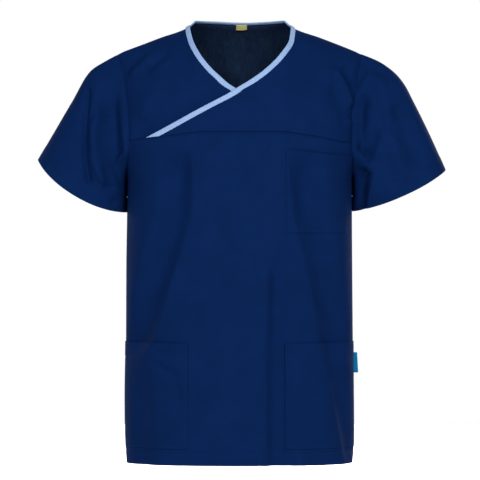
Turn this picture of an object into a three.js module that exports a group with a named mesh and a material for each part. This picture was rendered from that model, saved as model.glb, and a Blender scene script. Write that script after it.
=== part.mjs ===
// A short-sleeved scrub top with a crossed neckline, hollow and filled out as if it were worn.
// Millimetres, +Z up. The front faces -Y and the wearer's left is +X.
// The origin lies midway between the points where the shoulder seams meet the neck binding.
import * as THREE from 'three';

// Cloth thicknesses, seam clearance and the widths of sewn-on strips
const WALL = 1.5;
const POCKET_WALL = 1.2;
const BINDING_WALL = 1.0;
const LABEL_WALL = 1.0;
const SEAM_GAP = 0.3;
const CHEST_SEAM_INSET = 0.55;
const BINDING_WIDTH = 7.5;
const NECK_LABEL = { from: -6.7, to: 12, hang: 8 };
const SIDE_LABEL = { top: -543, foot: -577, reach: 7.5, slant: 1.5 };

// Main levels, and the height that one unit of grid height spans below the chest
const HEM_Z = -727;
const ARMPIT_Z = -254;
const CHEST_Z = -200;
const HEIGHT_UNIT = 200;

// Roundness of sections and rises: 2 is an ellipse, and a higher power is squarer
const BODY_POWER = 2.4;
const FRONT_RISE_POWER = 1.5;
const BACK_RISE_POWER = 2.2;
const SLEEVE_POWER = 2.2;

// How far the hidden panel is pressed in under the lapped one, and where that starts and ends
const UNDERLAP = { depth: 5.4, start: 40, end: 14, armholeFade: 26 };

// Body sections from the hem to the chest: half widths to the wearer's right and left, and depths
const BODY_ROWS = [
  { z: -727, right: 190, left: 188.5, front: 129, back: 119 },
  { z: -700, right: 191.5, left: 190.5, front: 130, back: 120 },
  { z: -620, right: 192.5, left: 190, front: 131, back: 120 },
  { z: -520, right: 191, left: 189, front: 131, back: 119 },
  { z: -400, right: 190.5, left: 188, front: 131, back: 118 },
  { z: -300, right: 189, left: 187.5, front: 131, back: 118 },
  { z: -254, right: 188.5, left: 187.5, front: 131, back: 119 },
  { z: -240, right: 190.5, left: 189.5, front: 131.5, back: 120 },
  { z: -225, right: 194.5, left: 193.5, front: 132, back: 121 },
  { z: -200, right: 204, left: 204, front: 132, back: 122 },
];

// The shoulder line, which the cloth above the chest rises to, running on over the neck opening
const RIDGE_ROWS = [
  { x: 0, z: 32 },
  { x: 50, z: 27 },
  { x: 74, z: 17 },
  { x: 85, z: 5.5 },
  { x: 92, z: 0 },
  { x: 134, z: -15 },
  { x: 193, z: -38 },
  { x: 206, z: -43 },
];
const SHOULDER_X = 203;

// Armhole seams seen from the front: distance from the centre at each height
const ARMHOLE_ROWS = [
  { z: -254, right: 188.5, left: 187.5 },
  { z: -240, right: 188, left: 187.3 },
  { z: -216, right: 185.4, left: 187.6 },
  { z: -181, right: 184, left: 189 },
  { z: -145, right: 186.5, left: 190.5 },
  { z: -110, right: 190, left: 193 },
  { z: -75, right: 195, left: 197.5 },
  { z: -42, right: 203, left: 203 },
];

// The seam across the chest, between the lower front and the two crossed upper fronts
const CHEST_SEAM_ROWS = [
  { x: -190, z: -188.5 },
  { x: -154, z: -185 },
  { x: -132, z: -182.7 },
  { x: -104, z: -179.7 },
  { x: -76, z: -176.4 },
  { x: -56, z: -175.3 },
  { x: 69, z: -175.2 },
  { x: 97, z: -178.4 },
  { x: 126, z: -183.2 },
  { x: 151, z: -187.6 },
  { x: 169, z: -191 },
  { x: 190, z: -192 },
];

// Bound front edges: each one's distance to its own side, negative once it has crossed the centre
const NECK_ROWS = [
  { z: -200, right: -179.2, left: -182.1 },
  { z: -185, right: -150, left: -154 },
  { z: -160, right: -101.3, left: -107.2 },
  { z: -135, right: -52.7, left: -60.5 },
  { z: -110, right: -4, left: -13.7 },
  { z: -104, right: 5, left: -5 },
  { z: -89, right: 27, left: 19.2 },
  { z: -72, right: 46, left: 42.1 },
  { z: -45.5, right: 67, left: 67.8 },
  { z: -18, right: 80.6, left: 83.7 },
  { z: 5, right: 85, left: 86 },
];
const NECK_CORNER_X = { right: 85, left: 86 };
const LAP_FOOT_Z = -185;
const LAP_CROSSING_Z = -110;

// The bound back edge of the neck
const BACK_NECK_ROWS = [
  { x: 0, z: 13.4 },
  { x: 45, z: 14.2 },
  { x: 74, z: 14.5 },
  { x: 85, z: 5.5 },
];
const BACK_NECK_X = 85;

// Sleeve rings from armhole to cuff: the top and the underarm line, and depths before and behind
const SLEEVE_ROWS = {
  right: [
    { t: 0, topX: 203, topZ: -42, lowX: 188.5, lowZ: -254, front: 70, back: 64 },
    { t: 0.1, topX: 224, topZ: -53, lowX: 190.6, lowZ: -256, front: 71, back: 65 },
    { t: 0.25, topX: 251, topZ: -71, lowX: 191.2, lowZ: -266, front: 69, back: 64 },
    { t: 0.5, topX: 281, topZ: -121, lowX: 191.4, lowZ: -282, front: 64, back: 61 },
    { t: 0.75, topX: 310.5, topZ: -171.5, lowX: 191.4, lowZ: -295, front: 59, back: 57 },
    { t: 1, topX: 339, topZ: -220, lowX: 191.4, lowZ: -308, front: 55, back: 54 },
  ],
  left: [
    { t: 0, topX: 203, topZ: -42, lowX: 187.5, lowZ: -254, front: 66, back: 62 },
    { t: 0.13, topX: 233, topZ: -54.5, lowX: 189.8, lowZ: -256.5, front: 68, back: 64 },
    { t: 0.26, topX: 260, topZ: -74, lowX: 190.2, lowZ: -266, front: 68, back: 64 },
    { t: 0.36, topX: 275, topZ: -92, lowX: 190.3, lowZ: -273, front: 67, back: 63 },
    { t: 0.5, topX: 292, topZ: -124, lowX: 190.3, lowZ: -281, front: 65, back: 61 },
    { t: 0.75, topX: 318.5, topZ: -178, lowX: 190.2, lowZ: -294, front: 60, back: 57 },
    { t: 1, topX: 345, topZ: -237, lowX: 190.2, lowZ: -306, front: 56, back: 54 },
  ],
};

// How far the middle of the cuff sags below its ends in front, and rises above them behind
const CUFF_SAG = { right: 20, left: 11, back: -6 };

// Main folds seen from the front: a crease line through three points, then the wall falls by depth
// over the lead and comes back over the trail, to the right of the line seen going down where turn is 1
const FRONT_FOLDS = [
  { topX: -77, topZ: -215, kneeX: -80, kneeZ: -315, footX: -149, footZ: -540,
    depth: 12, lead: 22, trail: 50, turn: -1 },
  { topX: 77, topZ: -222, kneeX: 90, kneeZ: -322, footX: 143, footZ: -540,
    depth: 12, lead: 24, trail: 46, turn: 1 },
  { topX: 46, topZ: -400, kneeX: 43, kneeZ: -560, footX: 44, footZ: -800,
    depth: 7, lead: 12, trail: 20, turn: 1 },
  { topX: -159, topZ: -590, kneeX: -161, kneeZ: -660, footX: -163, footZ: -800,
    depth: 7, lead: 12, trail: 14, turn: -1 },
  { topX: 136, topZ: -520, kneeX: 152, kneeZ: -600, footX: 182, footZ: -740,
    depth: 8, lead: 12, trail: 20, turn: -1 },
  { topX: 224, topZ: -80, kneeX: 208, kneeZ: -150, footX: 206, footZ: -270,
    depth: 11, lead: 10, trail: 16, turn: -1 },
  { topX: -226, topZ: -110, kneeX: -222, kneeZ: -180, footX: -212, footZ: -270,
    depth: 10, lead: 14, trail: 16, turn: 1 },
];
const BACK_FOLDS = [
  { topX: -110, topZ: -150, kneeX: -104, kneeZ: -330, footX: -122, footZ: -800,
    depth: 10, lead: 24, trail: 44, turn: -1 },
  { topX: 98, topZ: -190, kneeX: 104, kneeZ: -400, footX: 92, footZ: -800,
    depth: 11, lead: 22, trail: 48, turn: 1 },
  { topX: -24, topZ: -330, kneeX: -30, kneeZ: -520, footX: -22, footZ: -800,
    depth: 8, lead: 20, trail: 34, turn: 1 },
  { topX: 232, topZ: -100, kneeX: 216, kneeZ: -170, footX: 212, footZ: -270,
    depth: 9, lead: 14, trail: 18, turn: -1 },
  { topX: -232, topZ: -110, kneeX: -214, kneeZ: -170, footX: -210, footZ: -270,
    depth: 9, lead: 14, trail: 18, turn: 1 },
];
// Folds fade in over this length at their ends
const FOLD_FADE = 60;

// Colours of the cloth and the trims
const CLOTH = { color: 0x12305f, roughness: 0.85 };
const TRIM = { color: 0x7fa6d6, roughness: 0.8 };
const NECK_LABEL_CLOTH = { color: 0xdad47b, roughness: 0.7 };
const SIDE_LABEL_CLOTH = { color: 0x0a6c9e, roughness: 0.7 };

// Column places of the body panels, each stretch from one place to the next in even steps
const FRONT_COLUMNS = [
  { from: -1, to: -0.2476, steps: 10 },
  { from: -0.2476, to: 0.2127, steps: 8 },
  { from: 0.2127, to: 0.755, steps: 7 },
  { from: 0.755, to: 1, steps: 3 },
];
const BACK_COLUMNS = [
  { from: -1, to: -0.2274, steps: 8 },
  { from: -0.2274, to: 0.2274, steps: 10 },
  { from: 0.2274, to: 1, steps: 8 },
];
// Places beyond this one close up where the armhole narrows the panel
const FREE_PLACE = 0.5;

// Rows of the body panels below the armpit, and how far each armhole row lies up to the chest seam
const SIDE_ROWS_Z = [HEM_Z, -713, -700, -656, -612, -568, -525, -479, -433, -388, -343, -298, ARMPIT_Z];
const LOWER_ARMHOLE_STEPS = [0.06, 0.2, 0.38, 0.6, 0.8, 1];
const UPPER_ARMHOLE_STEPS = 14;
const ARMHOLE_SEAM_Z = -190;
const DIAGONAL_STEPS = 4;
const YOKE_COLUMNS = 14;
const SLEEVE_STEPS = 8;

// Pockets as stretches of the lower front's columns and rows, and how far each one's mouth gapes
const POCKETS = [
  { name: 'hip_pocket_right', from: 0, to: 10, foot: 2, top: 6, gape: 3 },
  { name: 'hip_pocket_left', from: 18, to: 28, foot: 2, top: 6, gape: 1.5 },
  { name: 'chest_pocket', from: 18, to: 25, foot: 10, top: 16, gape: 1.5 },
];

const lerp = (from, to, share) => from + (to - from) * share;
const clamp = (value, low, high) => Math.min(high, Math.max(low, value));

function smooth(share) {
  const s = clamp(share, 0, 1);
  return s * s * (3 - 2 * s);
}

function signedPower(value, power) {
  return Math.sign(value) * Math.abs(value) ** power;
}

// Reads one column of a table at a key, on a smooth curve that never overshoots its rows
function readTable(rows, key, column, at) {
  const last = rows.length - 1;
  if (at <= rows[0][key]) return rows[0][column];
  if (at >= rows[last][key]) return rows[last][column];
  let i = 0;
  while (rows[i + 1][key] < at) i += 1;
  const slope = (k) => (rows[k + 1][column] - rows[k][column]) / (rows[k + 1][key] - rows[k][key]);
  const tangent = (k) => {
    if (k === 0 || k === last) return 0;
    const before = slope(k - 1);
    const after = slope(k);
    return before * after <= 0 ? 0 : 2 * before * after / (before + after);
  };
  const span = rows[i + 1][key] - rows[i][key];
  const s = (at - rows[i][key]) / span;
  const startPart = (1 + 2 * s) * (1 - s) ** 2 * rows[i][column] + s * (1 - s) ** 2 * span * tangent(i);
  const endPart = s * s * (3 - 2 * s) * rows[i + 1][column] + s * s * (s - 1) * span * tangent(i + 1);
  return startPart + endPart;
}

const ridgeZ = (x) => readTable(RIDGE_ROWS, 'x', 'z', Math.abs(x));
const chestSeamZ = (x) => readTable(CHEST_SEAM_ROWS, 'x', 'z', x);
const backNeckZ = (x) => readTable(BACK_NECK_ROWS, 'x', 'z', Math.abs(x));
const wearerSide = (sign) => (sign < 0 ? 'right' : 'left');

// The body's half width and depth at a height, which stay as they are above the chest
function bodySize(x, z, face) {
  const level = Math.min(z, CHEST_Z);
  return {
    width: readTable(BODY_ROWS, 'z', wearerSide(x), level),
    depth: readTable(BODY_ROWS, 'z', face < 0 ? 'front' : 'back', level),
  };
}

// The point of the body's surface at x and z on one face: -1 is the front and 1 the back
function bodyPoint(face, x, z) {
  const { width, depth } = bodySize(x, z, face);
  const share = Math.min(1, Math.abs(x) / width);
  let y = depth * (1 - share ** BODY_POWER) ** (1 / BODY_POWER);
  if (z > CHEST_Z) {
    const power = face < 0 ? FRONT_RISE_POWER : BACK_RISE_POWER;
    const rise = clamp((z - CHEST_Z) / (ridgeZ(x) - CHEST_Z), 0, 1);
    y *= (1 - rise ** power) ** (1 / power);
  }
  return new THREE.Vector3(x, face * y, z);
}

// A function that is 1 on the body's surface and grows outwards
function bodyLevel(face, p) {
  const { width, depth } = bodySize(p.x, p.z, face);
  const share = Math.min(0.9999, Math.abs(p.x) / width);
  if (p.z <= CHEST_Z) {
    return (Math.abs(p.x) / width) ** BODY_POWER + (Math.abs(p.y) / depth) ** BODY_POWER;
  }
  const power = face < 0 ? FRONT_RISE_POWER : BACK_RISE_POWER;
  const reach = depth * (1 - share ** BODY_POWER) ** (1 / BODY_POWER);
  const rise = (p.z - CHEST_Z) / (ridgeZ(p.x) - CHEST_Z);
  return (Math.abs(p.y) / reach) ** power + rise ** power;
}

function bodyNormal(face, p) {
  const step = 0.05;
  const slope = (axis) => {
    const ahead = p.clone();
    const behind = p.clone();
    ahead[axis] += step;
    behind[axis] -= step;
    return bodyLevel(face, ahead) - bodyLevel(face, behind);
  };
  return new THREE.Vector3(slope('x'), slope('y'), slope('z')).normalize();
}

// Grid coordinates of the body: a place across, from -1 to 1, and a height that is 1 on the ridge
function placeOf(x, z) {
  const { width } = bodySize(x, z, -1);
  const share = Math.min(1, Math.abs(x) / width);
  return Math.sign(x) * Math.asin(share ** (BODY_POWER / 2)) / (Math.PI / 2);
}

function heightOf(face, x, z) {
  if (z <= CHEST_Z) return (z - CHEST_Z) / HEIGHT_UNIT;
  const power = face < 0 ? FRONT_RISE_POWER : BACK_RISE_POWER;
  const rise = clamp((z - CHEST_Z) / (ridgeZ(x) - CHEST_Z), 0, 1);
  return Math.asin(rise ** (power / 2)) / (Math.PI / 2);
}

function gridToBody(face, place, height) {
  const across = Math.abs(Math.sin(place * Math.PI / 2)) ** (2 / BODY_POWER);
  const lowZ = CHEST_Z + height * HEIGHT_UNIT;
  const x = Math.sign(place) * across * bodySize(place, height <= 0 ? lowZ : CHEST_Z, face).width;
  if (height <= 0) return bodyPoint(face, x, lowZ);
  const power = face < 0 ? FRONT_RISE_POWER : BACK_RISE_POWER;
  const rise = Math.sin(Math.min(1, height) * Math.PI / 2) ** (2 / power);
  return bodyPoint(face, x, lerp(CHEST_Z, ridgeZ(x), rise));
}

// How far one fold presses the cloth in at a point seen from the front
function foldDepth(fold, x, z) {
  const path = [[fold.topX, fold.topZ], [fold.kneeX, fold.kneeZ], [fold.footX, fold.footZ]];
  if (z > fold.topZ + FOLD_FADE || z < fold.footZ - FOLD_FADE) return 0;
  const leg = z > fold.kneeZ ? 0 : 1;
  const [x0, z0] = path[leg];
  const [x1, z1] = path[leg + 1];
  const length = Math.hypot(x1 - x0, z1 - z0);
  const lineX = x0 + (x1 - x0) * (z - z0) / (z1 - z0);
  const across = fold.turn * (x - lineX) * Math.abs(z1 - z0) / length;
  if (across <= 0 || across >= fold.lead + fold.trail) return 0;
  const ends = smooth((fold.topZ + FOLD_FADE / 2 - z) / FOLD_FADE)
    * smooth((z - fold.footZ + FOLD_FADE / 2) / FOLD_FADE);
  if (across < fold.lead) return fold.depth * ends * Math.sin(across / fold.lead * Math.PI / 2);
  return fold.depth * ends * (1 - smooth((across - fold.lead) / fold.trail));
}

// Moves a point of the cloth along its normal by the folds of the face that it looks to
function drape(point, normal) {
  const folds = normal.y < 0 ? FRONT_FOLDS : BACK_FOLDS;
  const facing = smooth(Math.abs(normal.y) / 0.6);
  const depth = folds.reduce((sum, fold) => sum + foldDepth(fold, point.x, point.z), 0);
  return point.clone().addScaledVector(normal, -depth * facing);
}

// A cell of a panel's grid: the middle of the wall there, and the direction of its thickness
function bodyCell(face, place, height) {
  const base = gridToBody(face, place, height);
  const dir = bodyNormal(face, base);
  return { point: drape(base, dir), dir };
}

// Splits a curve, given as a function of 0 to 1, into steps of equal length
function evenPoints(curve, steps) {
  const fine = 200;
  const points = Array.from({ length: fine + 1 }, (_, i) => curve(i / fine));
  const runs = [0];
  for (let i = 1; i <= fine; i += 1) runs.push(runs[i - 1] + points[i].distanceTo(points[i - 1]));
  return Array.from({ length: steps + 1 }, (_, k) => {
    const target = runs[fine] * k / steps;
    const i = Math.max(1, runs.findIndex((run) => run >= target - 1e-9));
    return points[i - 1].clone().lerp(points[i], (target - runs[i - 1]) / (runs[i] - runs[i - 1]));
  });
}

// Points of one armhole on one face, from the armpit up over the chest seam to the shoulder
function armholePoints(sign, face) {
  const side = wearerSide(sign);
  const at = (z) => bodyPoint(face, sign * readTable(ARMHOLE_ROWS, 'z', side, z), z);
  const seamZ = chestSeamZ(sign * readTable(ARMHOLE_ROWS, 'z', side, ARMHOLE_SEAM_Z));
  const shoulder = new THREE.Vector3(sign * SHOULDER_X, 0, ridgeZ(SHOULDER_X));
  const lower = LOWER_ARMHOLE_STEPS.map((step) => at(lerp(ARMPIT_Z, seamZ, step)));
  const armpitX = sign * readTable(ARMHOLE_ROWS, 'z', side, ARMPIT_Z);
  const rising = (t) => (t >= 1 ? shoulder : at(lerp(seamZ, shoulder.z, 1 - (1 - t) ** 2)));
  const upper = evenPoints(rising, UPPER_ARMHOLE_STEPS);
  return [new THREE.Vector3(armpitX, 0, ARMPIT_Z), ...lower, ...upper.slice(1)];
}

// A point of a sleeve ring: angle 0 is the top, and it goes round by the front
function sleeveRing(sign, t, angle) {
  const side = wearerSide(sign);
  const read = (column) => readTable(SLEEVE_ROWS[side], 't', column, t);
  const top = new THREE.Vector2(read('topX'), read('topZ'));
  const low = new THREE.Vector2(read('lowX'), read('lowZ'));
  const half = top.clone().sub(low).multiplyScalar(0.5);
  const middle = top.clone().add(low).multiplyScalar(0.5);
  const along = signedPower(Math.cos(angle), 2 / SLEEVE_POWER);
  const aside = signedPower(Math.sin(angle), 2 / SLEEVE_POWER);
  const depth = aside > 0 ? read('front') : read('back');
  const sag = (aside > 0 ? CUFF_SAG[side] : CUFF_SAG.back) * t * t * aside * aside;
  const down = new THREE.Vector2(half.y, -half.x).normalize();
  const place = middle.addScaledVector(half, along).addScaledVector(down, sag);
  return new THREE.Vector3(sign * place.x, -depth * aside, place.y);
}

// One sleeve's grid before its folds: a row for each step along it, a column for each armhole point
function sleeveBase(sign, loop) {
  const rows = SLEEVE_ROWS[wearerSide(sign)];
  const middleZ = (rows[0].topZ + rows[0].lowZ) / 2;
  const halfZ = (rows[0].topZ - rows[0].lowZ) / 2;
  const angles = loop.map((point) => {
    const along = clamp((point.z - middleZ) / halfZ, -1, 1);
    const angle = Math.acos(signedPower(along, SLEEVE_POWER / 2));
    return point.y > 0 ? 2 * Math.PI - angle : angle;
  });
  return Array.from({ length: SLEEVE_STEPS + 1 }, (_, i) => {
    const t = (i / SLEEVE_STEPS) ** 1.25;
    return loop.map((point, j) => {
      const rest = point.clone().sub(sleeveRing(sign, 0, angles[j]));
      return sleeveRing(sign, t, angles[j]).addScaledVector(rest, (1 - t) ** 2);
    });
  });
}

// Normals of a closed tube's grid, taken from its own points
function tubeNormals(rows, sign) {
  const count = rows[0].length;
  return rows.map((row, i) => row.map((_, j) => {
    const along = rows[Math.min(i + 1, rows.length - 1)][j].clone().sub(rows[Math.max(i - 1, 0)][j]);
    const round = row[(j + 1) % count].clone().sub(row[(j - 1 + count) % count]);
    return along.cross(round).multiplyScalar(-sign).normalize();
  }));
}

// An armhole: the seam's draped points, with the thickness direction and the way out that both sides share
function buildArmhole(sign) {
  const front = armholePoints(sign, -1);
  const back = armholePoints(sign, 1);
  const loop = [...front.slice().reverse(), ...back.slice(1, -1)];
  const base = sleeveBase(sign, loop);
  const normals = tubeNormals(base, sign);
  const stations = loop.map((point, j) => {
    const face = j <= front.length - 1 ? -1 : 1;
    const bodyDir = bodyNormal(face, point);
    const dir = bodyDir.clone().add(normals[0][j]).normalize();
    const next = loop[(j + 1) % loop.length];
    const before = loop[(j - 1 + loop.length) % loop.length];
    const out = next.clone().sub(before).cross(dir).normalize();
    if (out.dot(base[1][j].clone().sub(point)) < 0) out.negate();
    return { point: drape(point, bodyDir), dir, out };
  });
  const frontStations = stations.slice(0, front.length).reverse();
  const backStations = [frontStations[0], ...stations.slice(front.length), stations[0]];
  return { sign, base, normals, stations, front: frontStations, back: backStations };
}

// The cell that a body panel has at one armhole station
function armholeCell(station) {
  return { point: station.point.clone().addScaledVector(station.out, -SEAM_GAP / 2), dir: station.dir };
}

// Draws the edge cells of a grid in from the seam, along the line to the next cell
function insetRow(cells, inner, distance = SEAM_GAP / 2) {
  cells.forEach((cell, i) => {
    const way = inner[i].point.clone().sub(cell.point).normalize();
    cell.point.addScaledVector(way, distance);
  });
}

// The place across a row once the armhole has closed up its outer end
function closedPlace(place, border) {
  const size = Math.abs(place);
  if (size <= FREE_PLACE) return place;
  const beyond = (size - FREE_PLACE) / (1 - FREE_PLACE);
  return Math.sign(place) * lerp(FREE_PLACE, border, beyond);
}

function spread(stretches) {
  const places = [stretches[0].from];
  for (const { from, to, steps } of stretches) {
    for (let k = 1; k <= steps; k += 1) places.push(lerp(from, to, k / steps));
  }
  return places;
}

// Rows of a body panel's two borders: side seams below the armpit and armholes above it
function bodyBorders(face, armholes, armholeRows) {
  const sideCell = (sign, z) => ({ place: sign, height: (z - CHEST_Z) / HEIGHT_UNIT });
  const rows = SIDE_ROWS_Z.slice(0, -1).map((z) => ({ right: sideCell(-1, z), left: sideCell(1, z) }));
  for (let k = 0; k <= armholeRows; k += 1) {
    const row = {};
    for (const armhole of armholes) {
      const station = (face < 0 ? armhole.front : armhole.back)[k];
      const base = armholePoints(armhole.sign, face)[k];
      const place = k === 0 ? armhole.sign : placeOf(base.x, base.z);
      row[wearerSide(armhole.sign)] = { place, height: heightOf(face, base.x, base.z), station };
    }
    rows.push(row);
  }
  return rows;
}

// The grid of a body panel whose top row follows a curve given as the height at each place
function bodyPanel({ face, stretches, borders, topHeight, topPower }) {
  const places = spread(stretches);
  const last = borders.length - 1;
  const corner = (share) => lerp(borders[last].right.height, borders[last].left.height, share);
  const rows = borders.map(({ right, left }, j) => places.map((place, i) => {
    const share = (place + 1) / 2;
    const border = place < 0 ? -right.place : left.place;
    const at = closedPlace(place, border);
    if (i === 0 && right.station) return armholeCell(right.station);
    if (i === places.length - 1 && left.station) return armholeCell(left.station);
    const topPlace = closedPlace(place, place < 0 ? -borders[last].right.place : borders[last].left.place);
    const lift = (topHeight(topPlace) - corner(share)) * (j / last) ** topPower;
    return bodyCell(face, at, lerp(right.height, left.height, share) + lift);
  }));
  const armpitRow = SIDE_ROWS_Z.length - 1;
  for (let j = 0; j <= armpitRow; j += 1) {
    rows[j][0].point.y += face * SEAM_GAP / 2;
    rows[j][places.length - 1].point.y += face * SEAM_GAP / 2;
  }
  return rows;
}

function buildFrontLower(armholes) {
  const rows = bodyPanel({
    face: -1,
    stretches: FRONT_COLUMNS,
    borders: bodyBorders(-1, armholes, LOWER_ARMHOLE_STEPS.length),
    topHeight: (place) => {
      const x = gridToBody(-1, place, 0.1).x;
      return heightOf(-1, x, chestSeamZ(x));
    },
    topPower: 2,
  });
  const last = rows.length - 1;
  insetRow(rows[last], rows[last - 1], CHEST_SEAM_INSET);
  return rows;
}

function buildBack(armholes) {
  const stations = LOWER_ARMHOLE_STEPS.length + UPPER_ARMHOLE_STEPS;
  const rows = bodyPanel({
    face: 1,
    stretches: BACK_COLUMNS,
    borders: bodyBorders(1, armholes, stations),
    topHeight: (place) => {
      const x = gridToBody(1, place, 0.1).x;
      return Math.abs(x) >= BACK_NECK_X - 0.5 ? 1 : heightOf(1, x, backNeckZ(x));
    },
    topPower: 4,
  });
  const last = rows.length - 1;
  const neckFrom = BACK_COLUMNS[0].steps;
  const neckTo = neckFrom + BACK_COLUMNS[1].steps;
  // The top row lies on the seams, and the row below it follows the binding's lower edge
  const top = rows[last].map((cell) => cell.point.clone());
  const under = rows[last - 2].map((cell) => cell.point.clone());
  rows[last - 1] = rows[last].map((cell, i) => {
    if (i === 0 || i === top.length - 1) return rows[last - 1][i];
    const neighbour = top[Math.min(i + 1, neckTo)].clone().sub(top[Math.max(i - 1, neckFrom)]).normalize();
    const isNeck = i >= neckFrom && i <= neckTo;
    const way = under[i].clone().sub(top[i]);
    const square = isNeck ? way.clone().addScaledVector(neighbour, -way.dot(neighbour)) : way;
    const share = clamp(BINDING_WIDTH / square.length(), 0.1, 0.8);
    const from = rows[last][i];
    const to = rows[last - 2][i];
    const dir = from.dir.clone().lerp(to.dir, share).normalize();
    return { point: from.point.clone().lerp(to.point, share), dir };
  });
  insetRow(rows[last].slice(0, neckFrom + 1), rows[last - 1].slice(0, neckFrom + 1));
  insetRow(rows[last].slice(neckTo), rows[last - 1].slice(neckTo));
  return { rows, neckFrom, neckTo };
}

// How deep the hidden panel lies under the lapped one at a point seen from the front
function underlapDepth(x, z) {
  const edgeX = readTable(NECK_ROWS, 'z', 'left', z);
  const slope = (readTable(NECK_ROWS, 'z', 'left', z + 2) - readTable(NECK_ROWS, 'z', 'left', z - 2)) / 4;
  const inside = (x - edgeX) / Math.hypot(1, slope);
  const lapped = smooth((inside + UNDERLAP.start) / (UNDERLAP.start - UNDERLAP.end));
  const armholeX = readTable(ARMHOLE_ROWS, 'z', 'right', z);
  return UNDERLAP.depth * lapped * smooth((x + armholeX) / UNDERLAP.armholeFade);
}

// One upper front: rows from the chest seam to the shoulder seam, columns from its bound edge to the armhole
function buildYoke(armhole) {
  const { sign } = armhole;
  const side = wearerSide(sign);
  const cornerX = NECK_CORNER_X[side];
  const edgeAt = (z) => bodyPoint(-1, sign * readTable(NECK_ROWS, 'z', side, z), z);
  const diagonal = Array.from({ length: DIAGONAL_STEPS }, (_, k) => (
    edgeAt(lerp(LAP_FOOT_Z, LAP_CROSSING_Z, k / DIAGONAL_STEPS))));
  const corner = new THREE.Vector3(sign * cornerX, 0, ridgeZ(cornerX));
  const curve = (t) => (t >= 1 ? corner : edgeAt(lerp(LAP_CROSSING_Z, corner.z, t)));
  const edge = [...diagonal, ...evenPoints(curve, UPPER_ARMHOLE_STEPS - DIAGONAL_STEPS)];
  const toGrid = (p) => ({ place: placeOf(p.x, p.z), height: heightOf(-1, p.x, p.z) });
  const left = edge.map(toGrid);
  const lowerRows = LOWER_ARMHOLE_STEPS.length;
  const right = armholePoints(sign, -1).slice(lowerRows).map(toGrid);
  const last = left.length - 1;
  left[last].height = 1;
  right[last].height = 1;
  const bottom = (u) => {
    const x = lerp(edge[0].x, gridToBody(-1, right[0].place, right[0].height).x, u);
    return { place: placeOf(x, chestSeamZ(x)), height: heightOf(-1, x, chestSeamZ(x)) };
  };
  left[0] = bottom(0);
  right[0] = bottom(1);
  const blend = (u, j, key) => {
    const v = j / last;
    const ruled = (1 - v) * bottom(u)[key] + v * lerp(left[last][key], right[last][key], u);
    const across = lerp(left[j][key], right[j][key], u);
    const corners = lerp(lerp(left[0][key], right[0][key], u), lerp(left[last][key], right[last][key], u), v);
    return ruled + across - corners;
  };
  const cellAt = (u, j) => {
    const cell = bodyCell(-1, blend(u, j, 'place'), blend(u, j, 'height'));
    if (sign < 0) cell.point.addScaledVector(cell.dir, -underlapDepth(cell.point.x, cell.point.z));
    return cell;
  };
  const stations = armhole.front.slice(lowerRows);
  const rows = stations.map((station, j) => {
    const start = cellAt(0, j).point;
    const along = cellAt(0, Math.min(j + 1, last)).point.sub(cellAt(0, Math.max(j - 1, 0)).point).normalize();
    const offset = (u) => {
      const way = cellAt(u, j).point.sub(start);
      return way.addScaledVector(along, -way.dot(along)).length();
    };
    let low = 0;
    let high = 0.5;
    for (let k = 0; k < 24; k += 1) {
      const middle = (low + high) / 2;
      if (offset(middle) < BINDING_WIDTH) low = middle;
      else high = middle;
    }
    return Array.from({ length: YOKE_COLUMNS + 1 }, (_, i) => {
      if (i === 0) return cellAt(0, j);
      if (i === YOKE_COLUMNS) return armholeCell(station);
      return cellAt(lerp(low, 1, (i - 1) / (YOKE_COLUMNS - 1)), j);
    });
  });
  insetRow(rows[0], rows[1]);
  insetRow(rows[last], rows[last - 1]);
  return rows;
}

// A closed mesh from corner points and faces, turned so that its faces point out
function closedMesh(name, points, faces, { color, roughness }) {
  let volume = 0;
  for (const [a, b, c] of faces) volume += points[a].dot(points[b].clone().cross(points[c]));
  const turned = volume < 0 ? faces.map(([a, b, c]) => [a, c, b]) : faces;
  const geometry = new THREE.BufferGeometry();
  geometry.setAttribute('position', new THREE.Float32BufferAttribute(points.flatMap((p) => p.toArray()), 3));
  geometry.setIndex(turned.flat());
  geometry.computeVertexNormals();
  const mesh = new THREE.Mesh(geometry, new THREE.MeshStandardMaterial({ color, roughness, metalness: 0 }));
  mesh.name = name;
  return mesh;
}

// Two triangles for a square of corners, split along the shorter diagonal of the cells under it
function splitSquare([a, b, c, d], [cellA, cellB, cellC, cellD]) {
  const first = cellA.point.distanceTo(cellC.point);
  const second = cellB.point.distanceTo(cellD.point);
  return first < second ? [[a, b, c], [a, c, d]] : [[a, b, d], [b, c, d]];
}

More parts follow.
